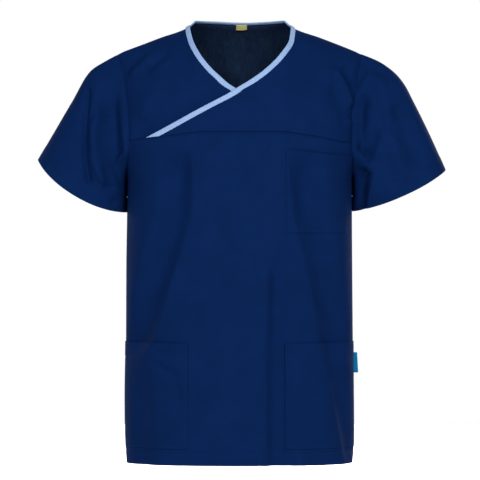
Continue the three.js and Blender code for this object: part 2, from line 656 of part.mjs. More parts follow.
// A wall of cloth on a grid of cells, lifted off it and open at its borders, or round a closed tube
function wallMesh(name, rows, { thickness = WALL, lift = () => 0, tube = false, finish = CLOTH }) {
  const columns = rows[0].length;
  const points = [];
  const layer = (side) => rows.forEach((row, j) => row.forEach(({ point, dir }, i) => {
    points.push(point.clone().addScaledVector(dir, lift(i, j) + side * thickness / 2));
  }));
  layer(1);
  layer(-1);
  const inner = rows.length * columns;
  const at = (i, j) => j * columns + (i % columns);
  const faces = [];
  const quad = (a, b, c, d) => faces.push([a, b, c], [a, c, d]);
  const across = tube ? columns : columns - 1;
  for (let j = 0; j < rows.length - 1; j += 1) {
    for (let i = 0; i < across; i += 1) {
      const square = [at(i, j), at(i + 1, j), at(i + 1, j + 1), at(i, j + 1)];
      const cells = square.map((index) => rows[Math.floor(index / columns)][index % columns]);
      faces.push(...splitSquare(square, cells));
      faces.push(...splitSquare(square, cells).map(([a, b, c]) => [inner + a, inner + c, inner + b]));
    }
    if (!tube) {
      quad(at(0, j), at(0, j + 1), inner + at(0, j + 1), inner + at(0, j));
      const end = columns - 1;
      quad(at(end, j + 1), at(end, j), inner + at(end, j), inner + at(end, j + 1));
    }
  }
  const top = rows.length - 1;
  for (let i = 0; i < across; i += 1) {
    quad(at(i + 1, 0), at(i, 0), inner + at(i, 0), inner + at(i + 1, 0));
    quad(at(i, top), at(i + 1, top), inner + at(i + 1, top), inner + at(i, top));
  }
  return closedMesh(name, points, faces, finish);
}

// A folded strip round a bound edge: cells of the edge, and those one strip's width into the panel
function bindingMesh(name, edge, inset) {
  const near = WALL / 2 + SEAM_GAP;
  const far = near + BINDING_WALL;
  const points = [];
  edge.forEach((cell, k) => {
    const before = edge[Math.max(0, k - 1)].point;
    const after = edge[Math.min(edge.length - 1, k + 1)].point;
    const way = after.clone().sub(before).normalize();
    const out = way.clone().cross(cell.dir).normalize();
    if (out.dot(cell.point.clone().sub(inset[k].point)) < 0) out.negate();
    const atEnd = (k === 0 ? -1 : 0) + (k === edge.length - 1 ? 1 : 0);
    const at = (base, up, beyond = 0) => base.point.clone().addScaledVector(base.dir, up)
      .addScaledVector(out, beyond).addScaledVector(way, -atEnd * SEAM_GAP / 2);
    points.push(
      at(inset[k], far),
      at(cell, far),
      at(cell, near * 0.6, SEAM_GAP + BINDING_WALL),
      at(cell, -near * 0.6, SEAM_GAP + BINDING_WALL),
      at(cell, -far),
      at(inset[k], -far),
      at(inset[k], -near),
      at(cell, -near, SEAM_GAP),
      at(cell, near, SEAM_GAP),
      at(inset[k], near),
    );
  });
  const ring = 10;
  const faces = [];
  for (let k = 0; k < edge.length - 1; k += 1) {
    for (let n = 0; n < ring; n += 1) {
      const a = k * ring + n;
      const b = k * ring + (n + 1) % ring;
      const fromInset = n === 0 || n === 6;
      const cells = [edge[k], inset[k], inset[k + 1], edge[k + 1]];
      const square = fromInset ? [b, a, a + ring, b + ring] : [a, b, b + ring, a + ring];
      const turn = ([p, q, r]) => (fromInset ? [p, r, q] : [p, q, r]);
      faces.push(...splitSquare(square, cells).map(turn));
    }
  }
  const cap = [[0, 1, 8], [0, 8, 9], [1, 2, 8], [2, 3, 7], [2, 7, 8], [3, 4, 7], [4, 5, 6], [4, 6, 7]];
  const end = (edge.length - 1) * ring;
  for (const [a, b, c] of cap) faces.push([a, c, b], [a + end, b + end, c + end]);
  return closedMesh(name, points, faces, TRIM);
}

function buildSleeve({ sign, base, normals, stations }) {
  const rows = base.map((row, i) => row.map((point, j) => {
    if (i === 0) {
      const { point: seam, dir, out } = stations[j];
      return { point: seam.clone().addScaledVector(out, SEAM_GAP / 2), dir };
    }
    return { point: drape(point, normals[i][j]), dir: normals[i][j] };
  }));
  return wallMesh(`sleeve_${wearerSide(sign)}`, rows, { tube: true });
}

// A pocket lies on the front's own cells, clear of it by the seam's gap, and its mouth stands away
function buildPocket(frontRows, { name, from, to, foot, top, gape }) {
  const rows = frontRows.slice(foot, top + 1).map((row) => row.slice(from, to + 1));
  const seat = (WALL + POCKET_WALL) / 2 + SEAM_GAP;
  const lift = (i, j) => {
    const across = Math.sin(Math.PI * i / (to - from));
    return seat + gape * across * (j / (top - foot)) ** 2;
  };
  return wallMesh(name, rows, { thickness: POCKET_WALL, lift });
}

// A cell between four of a grid's cells
function cellBetween(rows, i, j) {
  const i0 = Math.floor(i);
  const j0 = Math.floor(j);
  const i1 = Math.min(i0 + 1, rows[0].length - 1);
  const j1 = Math.min(j0 + 1, rows.length - 1);
  const mix = (key) => rows[j0][i0][key].clone().lerp(rows[j0][i1][key], i - i0)
    .lerp(rows[j1][i0][key].clone().lerp(rows[j1][i1][key], i - i0), j - j0);
  return { point: mix('point'), dir: mix('dir').normalize() };
}

// The blank neck label hangs inside the back from the lower edge of the binding
function buildNeckLabel({ rows }) {
  const bindingRow = rows.length - 2;
  const middle = (rows[0].length - 1) / 2;
  const step = rows[bindingRow][middle + 1].point.x - rows[bindingRow][middle].point.x;
  const drop = rows[bindingRow][middle].point.distanceTo(rows[bindingRow - 1][middle].point);
  const foot = bindingRow - NECK_LABEL.hang / drop;
  const start = bindingRow - SEAM_GAP / drop;
  const columns = [NECK_LABEL.from, 0, NECK_LABEL.to].map((x) => middle + x / step);
  const grid = [foot, start].map((j) => columns.map((i) => cellBetween(rows, i, j)));
  const lift = () => -(WALL + LABEL_WALL) / 2 - SEAM_GAP - 0.1;
  return wallMesh('neck_label', grid, { thickness: LABEL_WALL, lift, finish: NECK_LABEL_CLOTH });
}

// The blank side label stands out of the side seam at the wearer's left
function buildSideLabel() {
  const height = SIDE_LABEL.top - SIDE_LABEL.foot;
  const geometry = new THREE.BoxGeometry(SIDE_LABEL.reach, LABEL_WALL, height, 1, 1, 2).toNonIndexed();
  geometry.deleteAttribute('normal');
  geometry.deleteAttribute('uv');
  const position = geometry.getAttribute('position');
  for (let k = 0; k < position.count; k += 1) {
    const share = 0.5 - position.getZ(k) / height;
    if (position.getX(k) > 0) position.setX(k, position.getX(k) + SIDE_LABEL.slant * share);
  }
  geometry.computeVertexNormals();
  const finish = { ...SIDE_LABEL_CLOTH, metalness: 0 };
  const mesh = new THREE.Mesh(geometry, new THREE.MeshStandardMaterial(finish));
  mesh.name = 'side_label';
  const middleZ = (SIDE_LABEL.top + SIDE_LABEL.foot) / 2;
  const wallX = readTable(BODY_ROWS, 'z', 'left', SIDE_LABEL.foot) + WALL / 2 + SEAM_GAP;
  mesh.position.set(wallX + SIDE_LABEL.reach / 2, (SEAM_GAP + LABEL_WALL) / 2, middleZ);
  return mesh;
}

const armholes = [buildArmhole(-1), buildArmhole(1)];
const frontRows = buildFrontLower(armholes);
const back = buildBack(armholes);
const yokeRight = buildYoke(armholes[0]);
const yokeLeft = buildYoke(armholes[1]);
const column = (rows, i) => rows.map((row) => row[i]);
const backEdge = back.rows[back.rows.length - 1].slice(back.neckFrom, back.neckTo + 1);
const backInset = back.rows[back.rows.length - 2].slice(back.neckFrom, back.neckTo + 1);

const group = new THREE.Group();
group.add(
  wallMesh('front_lower', frontRows, {}),
  wallMesh('yoke_right', yokeRight, {}),
  wallMesh('yoke_left', yokeLeft, {}),
  wallMesh('back', back.rows, {}),
  ...armholes.map(buildSleeve),
  bindingMesh('neck_binding_right', column(yokeRight, 0), column(yokeRight, 1)),
  bindingMesh('neck_binding_left', column(yokeLeft, 0), column(yokeLeft, 1)),
  bindingMesh('neck_binding_back', backEdge, backInset),
  ...POCKETS.map((pocket) => buildPocket(frontRows, pocket)),
  buildNeckLabel(back),
  buildSideLabel(),
);

export default group;
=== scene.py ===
"""Dresses the hollow scrub top in cloth: panels, sleeves, pockets, bound neck, labels and stitching.

Everything is worked out in millimetres on the same form as the part, and becomes metres in the meshes.
The front faces -Y, and the wearer's left is +X.
"""

import logging
import math
from dataclasses import dataclass, field
from enum import Enum

import bmesh
import bpy
import numpy as np
from mathutils import Matrix, Vector


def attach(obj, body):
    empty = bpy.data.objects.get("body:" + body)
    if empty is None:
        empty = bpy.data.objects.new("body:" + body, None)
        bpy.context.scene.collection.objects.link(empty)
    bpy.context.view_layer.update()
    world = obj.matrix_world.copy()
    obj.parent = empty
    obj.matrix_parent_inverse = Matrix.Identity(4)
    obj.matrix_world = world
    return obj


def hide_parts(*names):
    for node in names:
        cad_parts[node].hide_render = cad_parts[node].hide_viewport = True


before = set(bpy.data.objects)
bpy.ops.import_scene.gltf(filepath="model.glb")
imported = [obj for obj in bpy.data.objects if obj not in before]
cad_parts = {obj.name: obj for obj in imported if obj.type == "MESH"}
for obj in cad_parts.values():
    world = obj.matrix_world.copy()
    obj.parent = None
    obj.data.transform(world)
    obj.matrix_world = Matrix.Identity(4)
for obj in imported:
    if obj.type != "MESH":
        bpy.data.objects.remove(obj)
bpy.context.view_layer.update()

log = logging.getLogger("scrub_top")
MM = 0.001

# Main levels of the body, in millimetres, and the height that one unit of grid height spans
HEM_Z = -727.0
ARMPIT_Z = -254.0
CHEST_Z = -200.0
HEIGHT_UNIT = 200.0
SHOULDER_X = 203.0
BACK_NECK_X = 85.0
BINDING_WIDTH = 7.6
BACK_BINDING_INSIDE = 4.2

# The lap's straight edge: where it meets the chest seam, and where it crosses the centre
LAP_FOOT_Z = -185.0
LAP_CROSSING_Z = -110.0

# Steps of an armhole's seam below and above the chest seam, the same on the body and the sleeve
LOWER_STEPS = 24
UPPER_STEPS = 48

# Roundness of sections and rises: 2 is an ellipse, and a higher power is squarer
BODY_POWER = 2.4
FRONT_RISE_POWER = 1.5
BACK_RISE_POWER = 2.2
SLEEVE_POWER = 2.2

# Cloth thicknesses as they are drawn: the cloth itself, a pocket and the binding tape
CLOTH_WALL = 0.9
POCKET_WALL = 0.8
TAPE_WALL = 0.6
LABEL_WALL = 0.3

# Hems and topstitching: how deep a hem is, how much thicker it stands, and how far in a seam is sewn
BODY_HEM = 20.0
CUFF_HEM = 25.0
HEM_THICKNESS = 0.35
CUFF_THICKNESS = 0.4
SEAM_STITCH = 4.0
POCKET_STITCH = 3.2

# How far a stitch stands off the cloth's middle, on the body and on the thinner pockets
STITCH_LIFT = 0.42
POCKET_STITCH_LIFT = 0.38


class Face(Enum):
    """The front or the back of the body."""

    FRONT = -1
    BACK = 1


class Side(Enum):
    """The wearer's right or left."""

    RIGHT = -1
    LEFT = 1

    @property
    def word(self) -> str:
        """The side's name as it stands in the tables and node names."""
        return self.name.lower()


class Table:
    """A table with named columns, read along one of them on a smooth curve that never overshoots."""

    def __init__(self, names: str, rows: list[tuple[float, ...]]) -> None:
        """Keeps the rows as columns.

        Args:
            names: The columns' names, the key column first.
            rows: One tuple for each row, with the key rising.
        """
        values = np.array(rows, dtype=float)
        self.columns = {name: values[:, k] for k, name in enumerate(names.split())}
        self.key = self.columns[names.split()[0]]

    def read(self, name: str, at: np.ndarray | float) -> np.ndarray:
        """Reads one column.

        Args:
            name: The column.
            at: Where to read it along the key.

        Returns:
            The column's values there.
        """
        key, column = self.key, self.columns[name]
        slopes = np.diff(column) / np.diff(key)
        tangents = np.zeros(len(key))
        before, after = slopes[:-1], slopes[1:]
        same_way = before * after > 0
        total = np.where(same_way, before + after, 1.0)
        tangents[1:-1] = np.where(same_way, 2 * before * after / total, 0.0)
        place = np.clip(at, key[0], key[-1])
        k = np.clip(np.searchsorted(key, place, side="right") - 1, 0, len(key) - 2)
        span = key[k + 1] - key[k]
        s = (place - key[k]) / span
        start = (1 + 2 * s) * (1 - s) ** 2 * column[k] + s * (1 - s) ** 2 * span * tangents[k]
        end = s * s * (3 - 2 * s) * column[k + 1] + s * s * (s - 1) * span * tangents[k + 1]
        return start + end


BODY = Table("z right left front back", [
    (-727, 190, 188.5, 129, 119),
    (-700, 191.5, 190.5, 130, 120),
    (-620, 192.5, 190, 131, 120),
    (-520, 191, 189, 131, 119),
    (-400, 190.5, 188, 131, 118),
    (-300, 189, 187.5, 131, 118),
    (-254, 188.5, 187.5, 131, 119),
    (-240, 190.5, 189.5, 131.5, 120),
    (-225, 194.5, 193.5, 132, 121),
    (-200, 204, 204, 132, 122),
])
RIDGE = Table("x z", [(0, 32), (50, 27), (74, 17), (85, 5.5), (92, 0), (134, -15), (193, -38), (206, -43)])
ARMHOLE = Table("z right left", [
    (-254, 188.5, 187.5),
    (-240, 188, 187.3),
    (-216, 185.4, 187.6),
    (-181, 184, 189),
    (-145, 186.5, 190.5),
    (-110, 190, 193),
    (-75, 195, 197.5),
    (-42, 203, 203),
])
CHEST_SEAM = Table("x z", [
    (-190, -188.5), (-154, -185), (-132, -182.7), (-104, -179.7), (-76, -176.4), (-56, -175.3),
    (69, -175.2), (97, -178.4), (126, -183.2), (151, -187.6), (169, -191), (190, -192),
])
# Bound front edges: each one's distance to its own side, negative once it has crossed the centre
NECK = Table("z right left", [
    (-200, -179.2, -182.1),
    (-185, -150, -154),
    (-160, -101.3, -107.2),
    (-135, -52.7, -60.5),
    (-110, -4, -13.7),
    (-104, 5, -5),
    (-89, 27, 19.2),
    (-72, 46, 42.1),
    (-45.5, 67, 67.8),
    (-18, 80.6, 83.7),
    (5, 85, 86),
])
NECK_CORNER_X = {Side.RIGHT: 85.0, Side.LEFT: 86.0}
BACK_NECK = Table("x z", [(0, 13.4), (45, 14.2), (74, 14.5), (85, 5.5)])
SLEEVES = {
    Side.RIGHT: Table("t topX topZ lowX lowZ front back", [
        (0, 203, -42, 188.5, -254, 70, 64),
        (0.1, 224, -53, 189.4, -256, 71, 65),
        (0.25, 251, -71, 189.5, -266, 69, 64),
        (0.5, 281, -121, 189.7, -282, 64, 61),
        (0.75, 310.5, -171.5, 189.9, -295, 59, 57),
        (1, 339, -220, 190.1, -308, 55, 54),
    ]),
    Side.LEFT: Table("t topX topZ lowX lowZ front back", [
        (0, 203, -42, 187.5, -254, 66, 62),
        (0.13, 233, -54.5, 188.3, -256.5, 68, 64),
        (0.26, 260, -74, 188.4, -266, 68, 64),
        (0.36, 275, -92, 188.4, -273, 67, 63),
        (0.5, 292, -124, 188.4, -281, 65, 61),
        (0.75, 318.5, -178, 188.5, -294, 60, 57),
        (1, 345, -237, 188.7, -306, 56, 54),
    ]),
}
CUFF_SAG = {Side.RIGHT: 20.0, Side.LEFT: 11.0, Face.BACK: -6.0}

# How far from the armhole a sleeve's form and its normals come to differ from the body's
SEAM_BLEND = 18.0
NORMAL_BLEND = 6.0


def smooth(share: np.ndarray | float) -> np.ndarray:
    """Eases a share from 0 to 1, flat at both ends."""
    s = np.clip(share, 0.0, 1.0)
    return s * s * (3 - 2 * s)


def lerp(start: np.ndarray | float, end: np.ndarray | float, share: np.ndarray | float) -> np.ndarray:
    """Goes from a start to an end by a share."""
    return start + (end - start) * share


def unit(vectors: np.ndarray) -> np.ndarray:
    """Scales vectors on the last axis to length 1."""
    length = np.linalg.norm(vectors, axis=-1, keepdims=True)
    return vectors / np.maximum(length, 1e-9)


@dataclass(frozen=True)
class Fold:
    """A main fold: a crease line through three points, then a fall over the lead and a way back.

    The wall falls to the right of the line, seen going down it, where turn is 1.
    """

    top: tuple[float, float]
    knee: tuple[float, float]
    foot: tuple[float, float]
    depth: float
    lead: float
    trail: float
    turn: int
    fade: float = 60.0

    def press(self, x: np.ndarray, z: np.ndarray) -> np.ndarray:
        """How far the fold presses the cloth in, in millimetres.

        Args:
            x: Places across, as seen from the front.
            z: Heights.

        Returns:
            The depth at each place.
        """
        upper = z > self.knee[1]
        x0, z0 = np.where(upper, self.top[0], self.knee[0]), np.where(upper, self.top[1], self.knee[1])
        x1, z1 = np.where(upper, self.knee[0], self.foot[0]), np.where(upper, self.knee[1], self.foot[1])
        line = x0 + (x1 - x0) * (z - z0) / (z1 - z0)
        across = self.turn * (x - line) * np.abs(z1 - z0) / np.hypot(x1 - x0, z1 - z0)
        ends = smooth((self.top[1] + self.fade / 2 - z) / self.fade)
        ends = ends * smooth((z - self.foot[1] + self.fade / 2) / self.fade)
        rising = np.sin(np.clip(across / self.lead, 0, 1) * math.pi / 2)
        falling = 1 - smooth((across - self.lead) / self.trail)
        return self.depth * ends * np.where(across < self.lead, rising, falling)


@dataclass(frozen=True)
class Crease:
    """A smaller soft trough, or a ridge where its depth is negative, along a line of points."""

    path: tuple[tuple[float, float], ...]
    depth: float
    width: float
    fade: float = 14.0

    def press(self, x: np.ndarray, z: np.ndarray) -> np.ndarray:
        """How far the crease presses the cloth in, in millimetres.

        Args:
            x: Places across, as seen from the front.
            z: Heights.

        Returns:
            The depth at each place.
        """
        nearest = np.full(x.shape, 1e9)
        run = np.zeros(x.shape)
        points = np.array(self.path)
        legs = np.linalg.norm(np.diff(points, axis=0), axis=1)
        for k, leg in enumerate(legs):
            way = (points[k + 1] - points[k]) / leg
            along = np.clip((x - points[k, 0]) * way[0] + (z - points[k, 1]) * way[1], 0, leg)
            gap = np.hypot(x - points[k, 0] - along * way[0], z - points[k, 1] - along * way[1])
            closer = gap < nearest
            nearest = np.where(closer, gap, nearest)
            run = np.where(closer, legs[:k].sum() + along, run)
        ends = smooth(run / self.fade) * smooth((legs.sum() - run) / self.fade)
        return self.depth * ends * np.exp(-(nearest / self.width) ** 2)


FRONT_FOLDS = (
    Fold((-77, -215), (-80, -315), (-149, -540), 15, 28, 36, -1),
    Fold((77, -222), (90, -322), (143, -540), 14, 28, 36, 1),
    Fold((46, -400), (43, -560), (44, -800), 12, 16, 42, 1),
    Fold((-140, -590), (-138, -660), (-140, -800), 5, 22, 26, -1),
    Fold((124, -500), (146, -586), (172, -720), 8, 16, 26, 1),
    Fold((238, -172), (226, -206), (212, -246), 9, 14, 20, -1, 30.0),
    Fold((222, -244), (216, -272), (212, -310), 12, 18, 14, -1, 24.0),
    Fold((-240, -110), (-238, -185), (-230, -250), 18, 29, 18, 1, 50.0),
)
BACK_FOLDS = (
    Fold((-110, -150), (-104, -330), (-122, -800), 10, 24, 44, -1),
    Fold((98, -190), (104, -400), (92, -800), 11, 22, 48, 1),
    Fold((-24, -330), (-30, -520), (-22, -800), 8, 20, 34, 1),
    Fold((232, -100), (216, -170), (212, -270), 9, 14, 18, -1),
    Fold((-232, -110), (-214, -170), (-210, -270), 9, 14, 18, 1),
)

FRONT_CREASES = (
    # Drag lines from the shoulders
    Crease(((-156, -38), (-176, -56), (-198, -80)), 4.2, 7),
    Crease(((-140, -42), (-162, -62), (-188, -84)), -3.4, 7),
    Crease(((-118, -36), (-138, -56), (-160, -76)), 3.0, 5.5),
    Crease(((-104, -44), (-128, -66), (-150, -84)), -2.0, 7),
    Crease(((-126, -78), (-152, -120), (-162, -160)), -2.0, 12),
    Crease(((156, -66), (174, -98), (190, -136)), -5.0, 6),
    Crease(((170, -58), (186, -84), (194, -108)), 5.0, 8),
    Crease(((150, -84), (172, -124), (186, -160)), 3.0, 8),
    Crease(((170, -150), (184, -158), (192, -168)), -2.6, 5),
    Crease(((112, -52), (146, -100), (160, -150)), 2.2, 12),
    Crease(((150, -96), (168, -140), (176, -176)), 2.4, 8),
    # The right sleeve: a sharp upright valley beside a ridge, and short ones at the underarm
    Crease(((-254, -96), (-258, -150), (-258, -215), (-249, -268)), 8.5, 6),
    Crease(((-230, -136), (-245, -172), (-242, -226), (-224, -266)), -6.0, 6.5),
    Crease(((-88, -206), (-82, -216)), -2.4, 4, 8),
    Crease(((-204, -262), (-216, -268), (-234, -268)), 3.2, 5),
    Crease(((-200, -282), (-212, -292), (-224, -296)), 2.6, 5),
    Crease(((-292, -132), (-306, -190), (-300, -244)), -1.6, 16),
    # The left sleeve: two ridges that meet in a V, a hollow at the armhole, and a band down to the cuff
    Crease(((224, -70), (208, -92), (193, -116)), -6.0, 6),
    Crease(((208, -104), (201, -136), (200, -176), (201, -226)), 13.0, 11, 20),
    Crease(((226, -72), (242, -118), (251, -164)), -4.4, 10),
    Crease(((251, -164), (238, -192), (222, -224)), -3.6, 8),
    Crease(((250, -172), (262, -210), (276, -262)), -4.6, 14),
    Crease(((262, -120), (276, -176), (300, -240)), 6.0, 16),
    Crease(((192, -236), (204, -232), (220, -236)), -6.0, 5, 8),
    Crease(((192, -248), (206, -245), (222, -247)), 5.0, 5, 8),
    # The lower front
    Crease(((-66, -450), (-80, -512)), 3.2, 8),
    Crease(((-8, -560), (-4, -600), (-10, -640)), 2.0, 16),
    Crease(((-128, -250), (-134, -300), (-126, -352)), -1.6, 12),
    Crease(((138, -206), (142, -262), (150, -318)), -1.4, 16),
    Crease(((-116, -560), (-104, -604), (-98, -640)), 2.4, 8),
    Crease(((-142, -552), (-122, -572), (-96, -580)), 2.6, 6),
    Crease(((-140, -600), (-150, -660), (-148, -706)), -2.2, 9),
    Crease(((96, -566), (100, -634), (96, -700)), -1.6, 14),
    Crease(((-30, -260), (-34, -380), (-28, -470)), 1.0, 22),
    Crease(((24, -230), (20, -330), (28, -420)), -0.9, 20),
)
BACK_CREASES = (
    Crease(((-150, -60), (-166, -110)), 3.0, 8),
    Crease(((148, -58), (170, -112)), 3.2, 8),
    Crease(((-60, -60), (0, -74), (62, -58)), 1.8, 12),
    Crease(((-168, -190), (-150, -260), (-156, -330)), 2.6, 11),
    Crease(((160, -200), (150, -270), (158, -350)), 2.2, 12),
    Crease(((40, -250), (46, -350), (40, -430)), 2.2, 14),
    Crease(((-60, -460), (-66, -560), (-58, -640)), 2.4, 13),
    Crease(((140, -480), (150, -580), (142, -680)), 2.6, 13),
    Crease(((20, -600), (26, -660), (22, -720)), 2.0, 12),
    Crease(((-252, -100), (-258, -170), (-250, -236)), 3.6, 8),
    Crease(((-288, -150), (-300, -206), (-292, -250)), -2.0, 14),
    Crease(((250, -110), (262, -176), (254, -244)), 3.2, 9),
    Crease(((290, -160), (304, -214), (298, -258)), -2.0, 14),
    Crease(((-202, -262), (-222, -270)), 3.0, 6),
    Crease(((204, -262), (226, -268)), 3.0, 6),
)


class Drape:
    """The folds and creases that the cloth has where it looks to the front or to the back."""

    def shift(self, points: np.ndarray, normals: np.ndarray) -> np.ndarray:
        """Moves points of the cloth along their normals.

        Args:
            points: Places on the smooth form.
            normals: The form's normals there.

        Returns:
            The draped places.
        """
        x, z = points[..., 0], points[..., 2]
        front = sum(fold.press(x, z) for fold in FRONT_FOLDS + FRONT_CREASES)
        back = sum(fold.press(x, z) for fold in BACK_FOLDS + BACK_CREASES)
        facing = smooth(np.abs(normals[..., 1]) / 0.6)
        depth = (np.where(normals[..., 1] < 0, front, back) + self.unevenness(points)) * facing
        return points - normals * depth[..., None]

    def unevenness(self, points: np.ndarray) -> np.ndarray:
        """The cloth's slight waviness all over, about a millimetre deep.

        Args:
            points: Places on the smooth form.

        Returns:
            How far the waviness presses each place in, in millimetres.
        """
        x, y, z = points[..., 0], points[..., 1], points[..., 2]
        wide = np.sin(x / 37.0 + 1.7 * np.sin(z / 83.0 + 0.8)) * np.sin(z / 71.0 + x / 140.0 + y / 60.0)
        slow = np.sin(x / 19.0 + 1.3 * np.sin(z / 61.0)) * np.sin(z / 43.0 + y / 31.0)
        quick = np.sin(x / 8.0 + z / 31.0) * np.sin(z / 17.0 - y / 12.0)
        return 0.9 * wide + 0.45 * slow + 0.12 * quick


class BodyForm:
    """The smooth form of the body: sections below the chest, and rises to the shoulder line above it."""

    def power(self, face: Face) -> float:
        """The roundness of the rise on one face."""
        return FRONT_RISE_POWER if face is Face.FRONT else BACK_RISE_POWER

    def sizes(self, x: np.ndarray, z: np.ndarray, face: Face) -> tuple[np.ndarray, np.ndarray]:
        """Half width and depth at a height, which stay as they are above the chest.

        Args:
            x: Places across, of which only the side counts.
            z: Heights.
            face: Front or back.

        Returns:
            The half widths, and the depths.
        """
        level = np.minimum(z, CHEST_Z)
        width = np.where(x < 0, BODY.read("right", level), BODY.read("left", level))
        return width, BODY.read(face.name.lower(), level)

    def ridge(self, x: np.ndarray) -> np.ndarray:
        """The height of the shoulder line."""
        return RIDGE.read("z", np.abs(x))

    def points(self, face: Face, x: np.ndarray, z: np.ndarray) -> np.ndarray:
        """Points of the form's surface.

        Args:
            face: Front or back.
            x: Places across.
            z: Heights.

        Returns:
            The points, on a last axis of three.
        """
        x, z = np.broadcast_arrays(np.asarray(x, dtype=float), np.asarray(z, dtype=float))
        width, depth = self.sizes(x, z, face)
        share = np.minimum(1.0, np.abs(x) / width)
        y = depth * (1 - share ** BODY_POWER) ** (1 / BODY_POWER)
        rise = np.clip((z - CHEST_Z) / (self.ridge(x) - CHEST_Z), 0, 1)
        y = y * (1 - rise ** self.power(face)) ** (1 / self.power(face))
        return np.stack([x, face.value * y, z], axis=-1)

    def level(self, face: Face, points: np.ndarray) -> np.ndarray:
        """A value that is 1 on the surface and grows outwards.

        Args:
            face: Front or back.
            points: Places near the surface.

        Returns:
            The value at each place.
        """
        x, y, z = points[..., 0], points[..., 1], points[..., 2]
        width, depth = self.sizes(x, z, face)
        share = np.minimum(0.9999, np.abs(x) / width)
        reach = depth * (1 - share ** BODY_POWER) ** (1 / BODY_POWER)
        rise = np.maximum((z - CHEST_Z) / (self.ridge(x) - CHEST_Z), 0)
        above = (np.abs(y) / reach) ** self.power(face) + rise ** self.power(face)
        below = (np.abs(x) / width) ** BODY_POWER + (np.abs(y) / depth) ** BODY_POWER
        return np.where(z <= CHEST_Z, below, above)

    def normals(self, face: Face, points: np.ndarray) -> np.ndarray:
        """The surface's outward normals.

        Args:
            face: Front or back.
            points: Points of the surface.

        Returns:
            The normals.
        """
        step = 0.05
        slopes = []
        for axis in range(3):
            move = np.zeros(3)
            move[axis] = step
            slopes.append(self.level(face, points + move) - self.level(face, points - move))
        return unit(np.stack(slopes, axis=-1))

    def place_of(self, x: np.ndarray, z: np.ndarray) -> np.ndarray:
        """The grid place of a point of the surface.

        Args:
            x: Places across.
            z: Heights.

        Returns:
            The grid places, from -1 to 1.
        """
        width, _ = self.sizes(x, z, Face.FRONT)
        share = np.minimum(1.0, np.abs(x) / width)
        return np.sign(x) * np.arcsin(share ** (BODY_POWER / 2)) / (math.pi / 2)

    def height_of(self, face: Face, x: np.ndarray, z: np.ndarray) -> np.ndarray:
        """The grid height of a point of the surface.

        Args:
            face: Front or back.
            x: Places across.
            z: Heights.

        Returns:
            The grid heights, which are 1 on the shoulder line.
        """
        rise = np.clip((z - CHEST_Z) / (self.ridge(x) - CHEST_Z), 0, 1)
        above = np.arcsin(rise ** (self.power(face) / 2)) / (math.pi / 2)
        return np.where(z <= CHEST_Z, (z - CHEST_Z) / HEIGHT_UNIT, above)

    def from_grid(self, face: Face, place: np.ndarray, height: np.ndarray) -> np.ndarray:
        """Points of the surface at grid places and heights.

        Args:
            face: Front or back.
            place: Places across, from -1 to 1.
            height: Grid heights.

        Returns:
            The points.
        """
        across = np.abs(np.sin(place * math.pi / 2)) ** (2 / BODY_POWER)
        low_z = CHEST_Z + np.minimum(height, 0) * HEIGHT_UNIT
        width, _ = self.sizes(place, low_z, face)
        x = np.sign(place) * across * width
        rise = np.sin(np.clip(height, 0, 1) * math.pi / 2) ** (2 / self.power(face))
        z = np.where(height <= 0, low_z, lerp(CHEST_Z, self.ridge(x), rise))
        return self.points(face, x, z)

    def armhole(self, side: Side, face: Face, steps: int) -> np.ndarray:
        """One armhole's seam on one face, in even steps from the armpit up to the shoulder.

        Args:
            side: The wearer's side.
            face: Front or back.
            steps: How many steps.

        Returns:
            The seam's points.
        """
        fine = 600
        share = 0.5 - 0.5 * np.cos(np.linspace(0, math.pi, fine))
        z = lerp(ARMPIT_Z, float(self.ridge(SHOULDER_X)), share)
        x = side.value * ARMHOLE.read(side.word, z)
        seam = self.points(face, x, z)
        seam[0, 1] = 0.0
        seam[-1] = (side.value * SHOULDER_X, 0.0, float(self.ridge(SHOULDER_X)))
        return even_points(seam, steps)


def even_points(line: np.ndarray, steps: int) -> np.ndarray:
    """Splits a line of points into steps of equal length.

    Args:
        line: The points.
        steps: How many steps.

    Returns:
        The new points, one more than the steps.
    """
    runs = np.concatenate([[0.0], np.cumsum(np.linalg.norm(np.diff(line, axis=0), axis=1))])
    at = np.linspace(0, runs[-1], steps + 1)
    return np.stack([np.interp(at, runs, line[:, k]) for k in range(3)], axis=-1)


BODY_FORM = BodyForm()
DRAPE = Drape()


